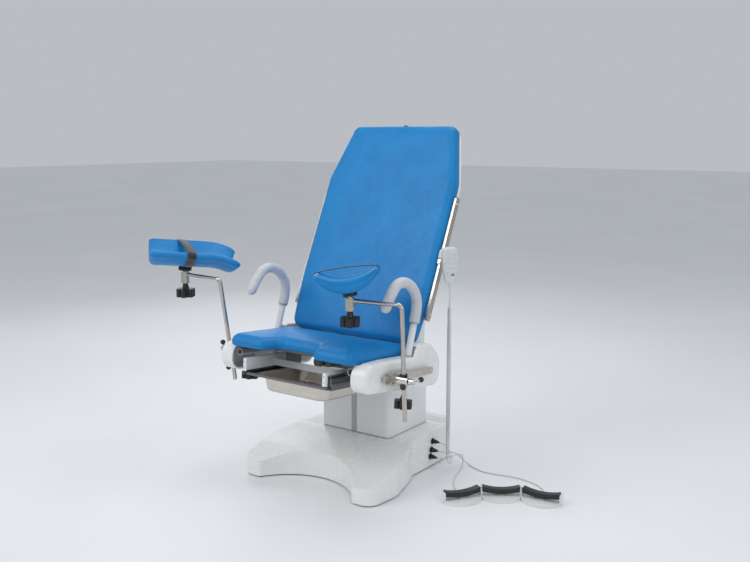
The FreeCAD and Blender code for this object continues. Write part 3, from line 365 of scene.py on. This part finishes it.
def lathe_piece(name, profile, origin, direction, material, body, segments=32):
    vertices, faces = turned_form(profile, segments)
    place = along_frame(Vector(origin), direction)
    return new_object(name, [place @ v for v in vertices], faces, material, body)


def tube_rings(line, radii, segments=28):
    """Rings along a line, carried without twist."""
    rings, side = [], None
    for i, point in enumerate(line):
        ahead = (line[min(i + 1, len(line) - 1)] - line[max(i - 1, 0)]).normalized()
        if side is None:
            side = ahead.orthogonal().normalized()
        side = (side - ahead * side.dot(ahead)).normalized()
        other = ahead.cross(side)
        rings.append([point + (side * math.cos(2 * math.pi * k / segments)
                               + other * math.sin(2 * math.pi * k / segments)) * radii[i]
                      for k in range(segments)])
    return rings


def smooth_line(points, steps):
    """Catmull-Rom line through the points."""
    padded = [points[0] * 2 - points[1], *points, points[-1] * 2 - points[-2]]
    line = []
    for a, b, c, d in zip(padded, padded[1:], padded[2:], padded[3:]):
        for i in range(steps):
            t = i / steps
            line.append(0.5 * (2 * b + (c - a) * t + (2 * a - 5 * b + 4 * c - d) * t ** 2
                               + (3 * b - a - 3 * c + d) * t ** 3))
    return line + [points[-1]]


def rounded_outline(corners, step):
    """Evenly spaced points round a closed outline of (u, v, radius) corners."""
    dense = []
    count = len(corners)
    for i, (u, v, radius) in enumerate(corners):
        at = Vector((u, v))
        back = (Vector(corners[i - 1][:2]) - at).normalized()
        ahead = (Vector(corners[(i + 1) % count][:2]) - at).normalized()
        half = back.angle(ahead) / 2
        trim = radius / math.tan(half)
        centre = at + (back + ahead).normalized() * (radius / math.sin(half))
        first, last = at + back * trim - centre, at + ahead * trim - centre
        sweep = first.angle_signed(last)
        for j in range(25):
            turn = Matrix.Rotation(-sweep * j / 24, 2)
            dense.append(centre + turn @ first)
    around = dense + [dense[0]]
    total = sum((b - a).length for a, b in zip(around, around[1:]))
    wanted = round(total / step)
    points, travelled, n = [], 0.0, 0
    for a, b in zip(around, around[1:]):
        length = (b - a).length
        while n < wanted and travelled + length >= n * total / wanted:
            points.append(a.lerp(b, (n * total / wanted - travelled) / max(length, 1e-9)))
            n += 1
        travelled += length
    return points


def inset_ring(outline, inset):
    """The outline moved inwards along its own normals."""
    count = len(outline)
    area = sum(outline[i - 1].cross(outline[i]) for i in range(count))
    sign = 1 if area > 0 else -1
    moved = []
    for i in range(count):
        along = (outline[(i + 2) % count] - outline[i - 2]).normalized()
        moved.append(outline[i] + Vector((-along.y, along.x)) * sign * inset)
    return moved


def mirrored_corners(half):
    return half + [(-u, v, r) for u, v, r in reversed(half)]


def cushion(name, corners, profile, crown, crown_from, centre, place, body, step=0.006):
    """A crowned closed form: a side profile of (inset, height) stations, then a domed top.

    The first station lies on the board, the last is where the dome begins."""
    outline = rounded_outline(corners, step)
    middle = Vector(centre)
    rings = []
    first = inset_ring(outline, profile[0][0])
    for share in (0.05, 0.4, 0.75, 0.93):
        rings.append([(middle.lerp(p, share), profile[0][1]) for p in first])
    for inset, height in profile:
        rings.append([(p, height) for p in inset_ring(outline, inset)])
    last = inset_ring(outline, profile[-1][0])
    rim = KDTree(len(last))
    for i, p in enumerate(last):
        rim.insert((p.x, p.y, 0), i)
    rim.balance()
    for share in (0.97, 0.93, 0.88, 0.82, 0.75, 0.67, 0.58, 0.48, 0.38, 0.28, 0.18, 0.08, 0.02):
        ring = []
        for p in last:
            spot = middle.lerp(p, share)
            inward = min(1.0, rim.find((spot.x, spot.y, 0))[2] / DOME_REACH)
            ring.append((spot, crown_from + (crown - crown_from) * (1 - (1 - inward) ** 2.2)))
        rings.append(ring)
    placed = []
    for level, ring in enumerate(rings):
        line = []
        for p, height in ring:
            sag = noise.noise(Vector((p.x * 13, p.y * 13, 2.0 + height * 20))) * 0.0012
            pucker = noise.noise(Vector((p.x * 45, p.y * 45, 7.0))) * 0.0004
            top = 1.0 if height > profile[0][1] + 0.6 * (crown - profile[0][1]) else 0.3
            line.append(place(p.x, p.y, height + (sag + pucker) * top if level > 3 else height))
        placed.append(line)
    vertices, faces = loft(placed)
    piece = new_object(name, vertices, faces, BLUE, body)
    return piece


# ---- camera and cords ----------------------------------------------------------------------
def make_camera():
    data = bpy.data.cameras.new("camera")
    data.lens = 44.32
    data.sensor_width = 36.0
    camera = bpy.data.objects.new("camera", data)
    bpy.context.scene.collection.objects.link(camera)
    camera.location = (2.0910, -2.9300, 1.2970)
    look = Vector((0.0, -0.0005, 0.7209)) - camera.location
    camera.rotation_euler = look.to_track_quat("-Z", "Y").to_euler()
    bpy.context.scene.camera = camera


HANDSET_TAIL = [
    (0.345, -0.006, 0.733),
    (0.345, -0.006, 0.716),
    (0.3475, -0.002, 0.697),
    (0.345, -0.004, 0.677),
    (0.345, -0.004, 0.656),
]
HANDSET_LEAD = [
    (0.345, -0.004, 0.070),
    (0.345, -0.004, 0.052),
    (0.343, 0.011, 0.036),
    (0.341, 0.031, 0.038),
    (0.337, 0.042, 0.058),
    (0.322, 0.044, 0.084),
    (0.306, 0.038, 0.102),
    (PLUG_END, 0.038, 0.102),
]
FOOT_CORD_LEFT = [
    (PLUG_END, 0.022, 0.044),
    (0.304, 0.022, 0.044),
    (0.322, 0.036, 0.046),
    (0.345, 0.062, 0.060),
    (0.354, 0.092, 0.054),
    (0.352, 0.106, 0.024),
    (0.354, 0.092, 0.0035),
    (0.366, 0.054, 0.0026),
    (0.378, 0.006, 0.0026),
    (0.398, -0.044, 0.0026),
    (0.424, -0.090, 0.0026),
    (0.450, -0.126, 0.0035),
    (0.482, -0.152, 0.006),
]
FOOT_CORD_RIGHT = [
    (PLUG_END, 0.028, 0.070),
    (0.306, 0.028, 0.070),
    (0.328, 0.054, 0.070),
    (0.336, 0.088, 0.052),
    (0.340, 0.124, 0.018),
    (0.366, 0.128, 0.0026),
    (0.404, 0.104, 0.0026),
    (0.452, 0.090, 0.0026),
    (0.506, 0.096, 0.0026),
    (0.560, 0.110, 0.0026),
    (0.616, 0.108, 0.0026),
    (0.668, 0.094, 0.0026),
    (0.712, 0.066, 0.0026),
    (0.738, 0.026, 0.0035),
    (0.750, -0.012, 0.006),
]
COIL_ROUTE = [
    (0.345, -0.004, 0.656),
    (0.3455, -0.0045, 0.520),
    (0.3445, -0.0035, 0.360),
    (0.3455, -0.0040, 0.210),
    (0.345, -0.004, 0.070),
]


def spline_object(name, points, radius, resolution=4):
    """A round NURBS curve with those control points."""
    curve = bpy.data.curves.new(name, "CURVE")
    curve.dimensions = "3D"
    curve.bevel_depth = radius
    curve.bevel_resolution = 3
    curve.use_fill_caps = True
    spline = curve.splines.new("NURBS")
    spline.points.add(len(points) - 1)
    for control, point in zip(spline.points, points):
        control.co = (*point, 1.0)
    spline.order_u = 3
    spline.use_endpoint_u = True
    spline.resolution_u = resolution
    piece = bpy.data.objects.new(name, curve)
    bpy.context.scene.collection.objects.link(piece)
    return piece


def spline_line(points):
    """Points along the NURBS curve through a route, read from its bevel-less curve."""
    route = spline_object("route", points, 0.0, 24)
    bpy.context.view_layer.update()
    mesh = bpy.data.meshes.new_from_object(route)
    line = [v.co.copy() for v in mesh.vertices]
    bpy.data.meshes.remove(mesh)
    bpy.data.objects.remove(route)
    return line


def at_share(line, share):
    place = share * (len(line) - 1)
    i = min(int(place), len(line) - 2)
    return line[i].lerp(line[i + 1], place - i)


def coil_points():
    """The curly stretch: a helix round its route, with slightly uneven turns."""
    line = spline_line(COIL_ROUTE)
    turns = round((COIL_ROUTE[0][2] - COIL_ROUTE[-1][2]) / COIL_PITCH)
    per_turn = 12
    points = []
    for i in range(1, turns * per_turn):
        share = i / (turns * per_turn)
        angle = 2 * math.pi * i / per_turn
        ends = min(1.0, i / per_turn, turns - i / per_turn)
        slip = 0.0006 * math.sin(share * 2 * math.pi * 9.0)
        centre = at_share(line, share)
        points.append((centre.x + COIL_R * ends * math.cos(angle),
                       centre.y + COIL_R * ends * math.sin(angle), centre.z + slip * ends))
    return points


def finish_cord(piece, *replaced):
    piece.data.materials.append(CORD)
    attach(piece, "base")
    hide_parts(*replaced)


def make_cords():
    curly = spline_object("curly_cord", HANDSET_TAIL + coil_points() + HANDSET_LEAD, CORD_R, 2)
    finish_cord(curly, "handset_cord_top", "handset_coil", "handset_cord_base")
    for name, route, length in (("left", FOOT_CORD_LEFT, 0.44), ("right", FOOT_CORD_RIGHT, 0.615)):
        lead = spline_object("foot_lead_" + name, route, CORD_R, 12)
        finish_cord(lead, "foot_cord_" + name)


# ---- upholstery ----------------------------------------------------------------------------
def make_seat():
    """Thick crowned cushion with soft rims, a scooped front and a side seam."""
    corners = mirrored_corners([
        (0.082, SEAT_FRONT + 0.078, 0.040),
        (0.122, SEAT_FRONT, 0.026),
        (SEAT_HALF - 0.006, SEAT_FRONT, 0.034),
        (SEAT_HALF + 0.002, -0.440, 0.060),
        (SEAT_HALF - 0.006, SEAT_REAR, 0.024),
    ])
    profile = [(0.012, 0.0), (0.006, 0.0004), (0.0022, 0.003), (0.0006, 0.0075), (0.0014, 0.0095),
               (0.0002, 0.0115), (0.0, 0.017), (0.0012, 0.0235), (0.0048, 0.030), (0.0095, 0.0355),
               (0.0155, 0.0400), (0.022, 0.0432)]
    piece = cushion("seat_upholstery", corners, profile, 0.055, 0.0438, (0.0, -0.238),
                    lambda u, v, w: seat_at(u, v, SEAT_UNDER + w), "seat")
    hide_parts("seat_cushion")


def make_backrest():
    """Long tapered cushion, thinner than the seat, with rounded rims and a rear seam."""
    corners = mirrored_corners([
        (0.286, 0.0, 0.044),
        (0.302, 0.200, 0.300),
        (0.302, 0.640, 0.120),
        (0.240, 0.877, 0.032),
    ])
    profile = [(0.008, 0.0), (0.0028, 0.0005), (0.0008, 0.004), (0.0002, 0.008), (0.0013, 0.0098),
               (0.0, 0.0118), (0.0, 0.020), (0.0012, 0.0285), (0.0042, 0.0355), (0.0085, 0.0412),
               (0.0145, 0.0452), (0.022, 0.0474)]
    piece = cushion("backrest_upholstery", corners, profile, 0.0515, 0.0477, (0.0, 0.42),
                    lambda u, v, w: back_at(u, BACK_THICK - w, v), "backrest")
    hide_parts("backrest_cushion")


def pad_bend(u, y, w):
    """Takes a straight pad's point onto its drooping lip."""
    if y <= PAD_LIP:
        return Vector((u, y, w))
    angle = (y - PAD_LIP) / LIP_BEND_R
    reach = LIP_BEND_R + w
    return Vector((u, PAD_LIP + reach * math.sin(angle), reach * math.cos(angle) - LIP_BEND_R))


def pad_matrix(side):
    """From the pad's own drawing to the rest position, by the ball joint's place and lateral axis."""
    joint = JOINTS["pad_tilt_right" if side > 0 else "pad_tilt_left"]
    ball = Vector(joint["pos_m"])
    lateral = Vector(joint["axis"])
    yaw = math.atan2(lateral.y, lateral.x * side)
    ball.x *= side
    place = (Matrix.Translation(ball) @ Matrix.Rotation(yaw, 4, "Z") @ Matrix.Rotation(-PAD_PITCH, 4, "X")
             @ Matrix.Rotation(-PAD_ROLL, 4, "Y") @ Matrix.Translation((0, 0, PAD_ABOVE_BALL)))
    return Matrix.Diagonal((side, 1, 1, 1)) @ place


def pad_section(shrink=0.0, floor=PAD_FOAM):
    """Crescent section as matching outer and inner (u, w) points from one tip to the other.

    Shrink, from 0 to 1, thins it towards its own mid line."""
    outer_r = (PAD_HALF ** 2 + (PAD_HIGH - 0.012) ** 2) / (2 * (PAD_HIGH - 0.012))
    outer, inner = [], []
    for i in range(SECTION_STEPS + 1):
        across = -1 + 2 * i / SECTION_STEPS
        u = across * (PAD_HALF - 0.010)
        low = outer_r - math.sqrt(outer_r ** 2 - u ** 2)
        rise = (PAD_HIGH - floor) * abs(across) ** 2.1
        top = floor + rise + 0.003 * (1 - across ** 2)
        middle, half = (low + top) / 2, (top - low) / 2 * (1 - 0.78 * shrink)
        narrow = 1 - 0.06 * shrink
        outer.append((u * narrow, middle - half))
        inner.append((u * narrow, middle + half))
    return outer, inner


def tip_points(outer, inner):
    """Rounds the two tips between the outer and inner points."""
    loops = []
    for end, sign in ((-1, 1), (0, -1)):
        (u, low), (_, high) = outer[end], inner[end]
        middle, half = (low + high) / 2, (high - low) / 2
        loops.append([(u + sign * half * 0.9 * math.cos(a), middle + half * math.sin(a) * sign)
                      for a in TIP_ANGLES])
    return loops


def pad_ring(y, shrink):
    """One closed section of the pad, thinned near its ends."""
    near_front = max(0.0, 1 - (y - PAD_FRONT) / 0.05)
    floor = PAD_FOAM + 0.009 * near_front ** 2
    outer, inner = pad_section(shrink, floor)
    right_tip, left_tip = tip_points(outer, inner)
    loop = outer + right_tip + inner[::-1] + left_tip
    return [(u, y, w) for u, w in loop]


def make_pad(name, side):
    """Gutter-shaped leg pad with a seam round its front face and a drooping rear lip."""
    place = pad_matrix(side)
    front = [(0.0016, 1.0), (0.0006, 0.93), (0.0, 0.84), (0.0002, 0.70), (0.0014, 0.52), (0.0038, 0.34),
             (0.0075, 0.19), (0.0125, 0.08), (0.0195, 0.02), (0.030, 0.0)]
    stations = [(PAD_FRONT + d, shrink) for d, shrink in front]
    middle_from, middle_to = PAD_FRONT + 0.042, PAD_REAR - 0.036
    stations += [(middle_from + (middle_to - middle_from) * i / 22, 0.0) for i in range(23)]
    stations += [(PAD_REAR - d, shrink) for d, shrink in reversed(front)]
    rings = []
    for y, shrink in stations:
        ring = []
        for u, y_here, w in pad_ring(y, shrink):
            dent = noise.noise(Vector((u * 30, y_here * 30, w * 30 + side))) * 0.0010
            ring.append(place @ pad_bend(u, y_here, w + dent))
        rings.append(ring)
    vertices, faces = loft(rings, caps=False)
    faces += strip_cap(0) + strip_cap((len(rings) - 1) * len(rings[0]))
    piece = new_object("pad_upholstery_" + name, vertices, faces, BLUE, "leg_pad_" + name)
    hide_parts("pad_" + name)


def strip_cap(start):
    """Quads across a crescent ring, from its outer points to its inner ones."""
    tip = len(TIP_ANGLES)
    outer = [start + i for i in range(SECTION_STEPS + 1)]
    inner = [start + 2 * SECTION_STEPS + 1 + tip - i for i in range(SECTION_STEPS + 1)]
    faces = [(outer[i], outer[i + 1], inner[i + 1], inner[i]) for i in range(SECTION_STEPS)]
    right = [outer[-1] + i for i in range(tip + 1)] + [inner[-1]]
    left = [inner[0] + i for i in range(tip + 1)] + [outer[0]]
    return faces + [tuple(right), tuple(left)]


def socket_piece(name, side):
    """Moulded ball socket plate with its two bosses, below the pad."""
    place = pad_matrix(side)
    profile = [(0.0131, -0.0185), (0.0235, -0.0185), (0.0252, -0.0178), (0.026, -0.0165), (0.026, -0.0085),
               (0.0252, -0.0072), (0.0235, -0.0065), (0.009, -0.0055), (0.003, -0.0053)]
    vertices, faces = turned_form(profile, 40)
    open_below = faces[:-2] + [faces[-1]]
    new_object("ball_socket_" + name, [place @ v for v in vertices], open_below,
               BLACK, "leg_pad_" + name)
    for i, y in enumerate((-0.020, 0.020)):
        boss, boss_faces = turned_form([(0.0038, -0.0072), (0.0042, -0.005), (0.0040, 0.0022)], 20)
        new_object("socket_boss_%s_%d" % (name, i), [place @ (v + Vector((0, y, 0))) for v in boss],
                   boss_faces, BLACK, "leg_pad_" + name)


def make_strap(name, side):
    """Black webbing round the pad and across its trough."""
    place = pad_matrix(side)
    outer, inner = pad_section(0.0)
    right_tip, left_tip = tip_points(outer, inner)
    path = [Vector(p) for p in outer + right_tip]
    first, last = path[-1], Vector(left_tip[0])
    for i in range(1, 14):
        share = i / 14
        sag = STRAP_SAG * math.sin(math.pi * share)
        path.append(first.lerp(last, share) + Vector((0, sag)))
    path += [Vector(p) for p in left_tip]
    rings = []
    count = len(path)
    for i, (u, w) in enumerate(path):
        along = (path[(i + 1) % count] - path[i - 1]).normalized()
        out = Vector((along.y, -along.x))
        shift = -STRAP_SLANT * u / PAD_HALF
        ring = []
        for across, offset in ((-1, 0.0009), (-0.96, 0.0026), (0, 0.0029), (0.96, 0.0026), (1, 0.0009),
                               (0.96, 0.0005), (0, 0.0005), (-0.96, 0.0005)):
            point = Vector((u, w)) + out * offset
            ring.append(place @ Vector((point.x, across * STRAP_HALF_WIDE + shift, point.y)))
        rings.append(ring)
    vertices, faces = loft(rings + [rings[0]], caps=False)
    piece = new_object("strap_" + name, vertices, faces, STRAP, "leg_pad_" + name)
    weld = piece.modifiers.new("weld", "WELD")
    weld.merge_threshold = 0.00001
    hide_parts("pad_strap_" + name)


# ---- grips, knobs and small parts ----------------------------------------------------------
def make_grip(name, side):
    """Bent grip: painted tube, thin steel flange, collar and foam sleeve with a domed end."""
    line = [seat_at(side * GRIP_X, y, z) for y, z in GRIP_LINE]
    foot, knee = line[0], line[1]
    along = (knee - foot).normalized()
    tube_line = [foot.lerp(knee, i / 6) for i in range(7)]
    vertices, faces = loft(tube_rings(tube_line, [GRIP_TUBE_R] * 7))
    tube = new_object("grip_tube_" + name, vertices, faces, ENAMEL, "seat")
    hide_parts("grip_" + name)
    flange = [(GRIP_TUBE_R, 0.0), (0.0182, 0.0), (0.019, 0.0006), (0.019, 0.0030), (0.0180, 0.0038),
              (0.0135, 0.0040), (GRIP_TUBE_R, 0.0052)]
    lathe_piece("grip_flange_" + name, flange, foot + along * FLANGE_AT, along, STEEL, "seat")
    sleeve_line = smooth_line(line[1:], 12)
    tail = (sleeve_line[-1] - sleeve_line[-2]).normalized()
    dome = [(math.sin(a) * GRIP_FOAM_R, math.cos(a) * GRIP_FOAM_R)
            for a in (0.26, 0.52, 0.79, 1.05, 1.3, 1.5)]
    full_line = [sleeve_line[0], sleeve_line[0] + along * 0.0008, *sleeve_line[1:]]
    full_radii = [GRIP_FOAM_R - 0.0022, GRIP_FOAM_R - 0.0006]
    full_radii += [GRIP_FOAM_R] * (len(sleeve_line) - 1)
    for ahead, radius in dome:
        full_line.append(sleeve_line[-1] + tail * ahead)
        full_radii.append(radius)
    vertices, faces = loft(tube_rings(full_line, full_radii))
    sleeve = new_object("grip_sleeve_" + name, vertices, faces, FOAM, "seat")
    collar = [(GRIP_TUBE_R, -0.003), (0.0160, -0.003), (0.0172, -0.002), (0.0172, 0.0008),
              (GRIP_TUBE_R, 0.0008)]
    lathe_piece("grip_collar_" + name, collar, knee, along, STRIP, "seat")


def middle_of(values):
    values = list(values)
    return (min(values) + max(values)) / 2


def make_tee_balls(name, side):
    """Black ball ends on the tee handle's sliding bar, each with a short neck."""
    low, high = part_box("tee_handle_" + name)
    vertices = [v.co for v in NODES["tee_handle_" + name].data.vertices]
    bar_axis = 1 if name == "right" else 2
    centres = []
    for end in Vector((low[bar_axis] + TEE_BALL_CAD_R, high[bar_axis] - TEE_BALL_CAD_R)):
        near = [v for v in vertices if abs(v[bar_axis] - end) < TEE_BALL_CAD_R]
        centres.append(Vector((side * TEE_X, middle_of(v.y for v in near), middle_of(v.z for v in near))))
    bar = (centres[1] - centres[0]).normalized()
    for i, (centre, outward) in enumerate(zip(centres, (-bar, bar))):
        ball = [(0.0042, -0.0112), (0.0046, -0.0094)]
        ball += [(TEE_BALL_R * math.sin(a), -TEE_BALL_R * math.cos(a))
                 for a in (0.6, 0.9, 1.2, 1.55, 1.9, 2.2, 2.5, 2.8)]
        ball += [(0.0020, 0.0098)]
        lathe_piece("tee_ball_%s_%d" % (name, i), ball, centre, outward, BLACK,
                    "tee_" + name)


def make_clamp_screw(name):
    """Threaded steel screw between the clamp and its star knob."""
    joint = JOINTS["clamp_knob_turn_" + name]
    axis = Vector(joint["axis"])
    top = Vector(joint["pos_m"]) + axis * 0.0365
    profile = []
    for i in range(30):
        depth = -0.001 - i * SCREW_THREAD_PITCH
        profile += [(0.0050, depth), (0.0057, depth - 0.00075)]
    lathe_piece("clamp_screw_" + name, profile, top, axis, BRIGHT, "clamp_knob_" + name, 24)


def rounded_plate(name, centre, size, radius, height, place, material, body):
    """Raised rounded rectangle on a face: size across, its edge softened."""
    corners = [(size[0] / 2, -size[1] / 2, radius), (size[0] / 2, size[1] / 2, radius),
               (-size[0] / 2, size[1] / 2, radius), (-size[0] / 2, -size[1] / 2, radius)]
    outline = rounded_outline(corners, 0.0012)
    rings = []
    for inset, level in ((0.0, 0.0), (0.0, height * 0.5), (0.0003, height * 0.85), (0.0008, height)):
        rings.append([place @ Vector((p.x + centre[0], -level, p.y + centre[1]))
                      for p in inset_ring(outline, inset)])
    vertices, faces = loft(rings)
    return new_object(name, vertices, faces, material, body)


def make_keypad():
    """Foil keypad on the handset: two columns of plain keys and a dark one below."""
    place = (Matrix.Translation(HANDSET_AT) @ Matrix.Rotation(HANDSET_YAW, 4, "Z")
             @ Matrix.Translation((0, -HANDSET_THICK / 2 - 0.0001, 0)))
    rounded_plate("keypad_panel", (0, 0.008), (0.044, 0.096), 0.008, 0.0006, place, FOIL,
                  "handset_body")
    for row in range(5):
        for column in (-1, 1):
            centre = (column * 0.0105, 0.046 - row * 0.0175)
            name = "key_%d_%d" % (row, (column + 1) // 2)
            rounded_plate(name, centre, (0.0145, 0.0115), 0.0028, 0.0012, place, HANDSET,
                          "handset_body")
            rounded_plate(name + "_mark", centre, (0.0052, 0.0018), 0.0008, 0.0016, place, KEY_DARK,
                          "handset_body")
    rounded_plate("key_stop", (0.008, -0.0335), (0.012, 0.007), 0.003, 0.0013, place, KEY_DARK,
                  "handset_body")


def cap_screw(name, centre, direction, radius, material, body):
    """Socket head screw: chamfered head with a round recess."""
    shares = ((0.98, 0.0), (1.0, 0.15), (1.0, 0.62), (0.88, 0.75), (0.50, 0.75), (0.46, 0.35), (0.1, 0.30))
    profile = [(radius * out, radius * up) for out, up in shares]
    lathe_piece(name, profile, centre, direction, material, body, 24)


def make_screws():
    """Screws of the tray brackets, the rails and the backrest's top fitting."""
    for name, side in SIDES:
        for i, z in enumerate((0.412, 0.432)):
            cap_screw("bracket_screw_%s_%d" % (name, i), seat_at(side * 0.1835, -0.5572, z),
                      seat_at(0, -1, 0.43) - seat_at(0, 0, 0.43), 0.0026, BRIGHT, "seat")
        for i, z in enumerate((0.122, 0.560)):
            for j, y in enumerate((0.034, 0.047)):
                cap_screw("back_rail_screw_%s_%d_%d" % (name, i, j), back_at(side * 0.3174, y, z),
                          (side, 0, 0), 0.0042, BRIGHT, "backrest")
        cap_screw("pod_rail_screw_" + name, seat_at(side * 0.3600, -0.158, 0.432), (side, 0, 0),
                  0.0042, BRIGHT, "seat")
    top = back_at(0, 0.030, 0.8765)
    upward = back_at(0, 0, 1) - back_at(0, 0, 0)
    fitting = [(0.011, 0.0), (0.0115, 0.0015), (0.0105, 0.0038), (0.0070, 0.0048), (0.0035, 0.0050)]
    lathe_piece("top_fitting", fitting, top, upward, BLACK, "backrest", 28)


# ---- light and floor -----------------------------------------------------------------------
def area_light(name, place, target, size, power, colour=(1, 1, 1)):
    data = bpy.data.lights.new(name, "AREA")
    data.size = size
    data.energy = power
    data.color = colour
    light = bpy.data.objects.new(name, data)
    bpy.context.scene.collection.objects.link(light)
    light.location = place
    light.rotation_euler = (Vector(target) - Vector(place)).to_track_quat("-Z", "Y").to_euler()


def make_studio():
    mesh = bpy.data.meshes.new("studio_floor")
    corners = [(x * FLOOR_HALF, y * FLOOR_HALF, 0) for x, y in ((-1, -1), (1, -1), (1, 1), (-1, 1))]
    mesh.from_pydata(corners, [], [(0, 1, 2, 3)])
    mesh.materials.append(floor_paint())
    floor = bpy.data.objects.new("studio_floor", mesh)
    bpy.context.scene.collection.objects.link(floor)
    world = bpy.data.worlds.new("studio")
    world.use_nodes = True
    background = world.node_tree.nodes["Background"]
    background.inputs["Color"].default_value = (0.72, 0.755, 0.80, 1)
    background.inputs["Strength"].default_value = 0.68
    bpy.context.scene.world = world
    area_light("key", (-1.6, -3.2, 3.4), (0, -0.1, 0.6), 2.4, 62, (1.0, 0.985, 0.96))
    area_light("fill", (3.4, -1.6, 2.2), (0, 0, 0.6), 2.6, 26, (0.95, 0.97, 1.0))
    area_light("top", (0.3, 0.6, 3.6), (0, 0, 0.5), 2.2, 32)
    area_light("rim", (-2.6, 2.2, 2.2), (0, 0, 0.8), 1.8, 20, (0.93, 0.96, 1.0))


bpy.context.scene.view_settings.view_transform = "Standard"
make_camera()
make_cords()
dress_nodes()
make_seat()
make_backrest()
for side_name, side_sign in SIDES:
    make_pad(side_name, side_sign)
    socket_piece(side_name, side_sign)
    make_strap(side_name, side_sign)
    make_grip(side_name, side_sign)
    make_tee_balls(side_name, side_sign)
    make_clamp_screw(side_name)
make_keypad()
make_screws()
make_studio()
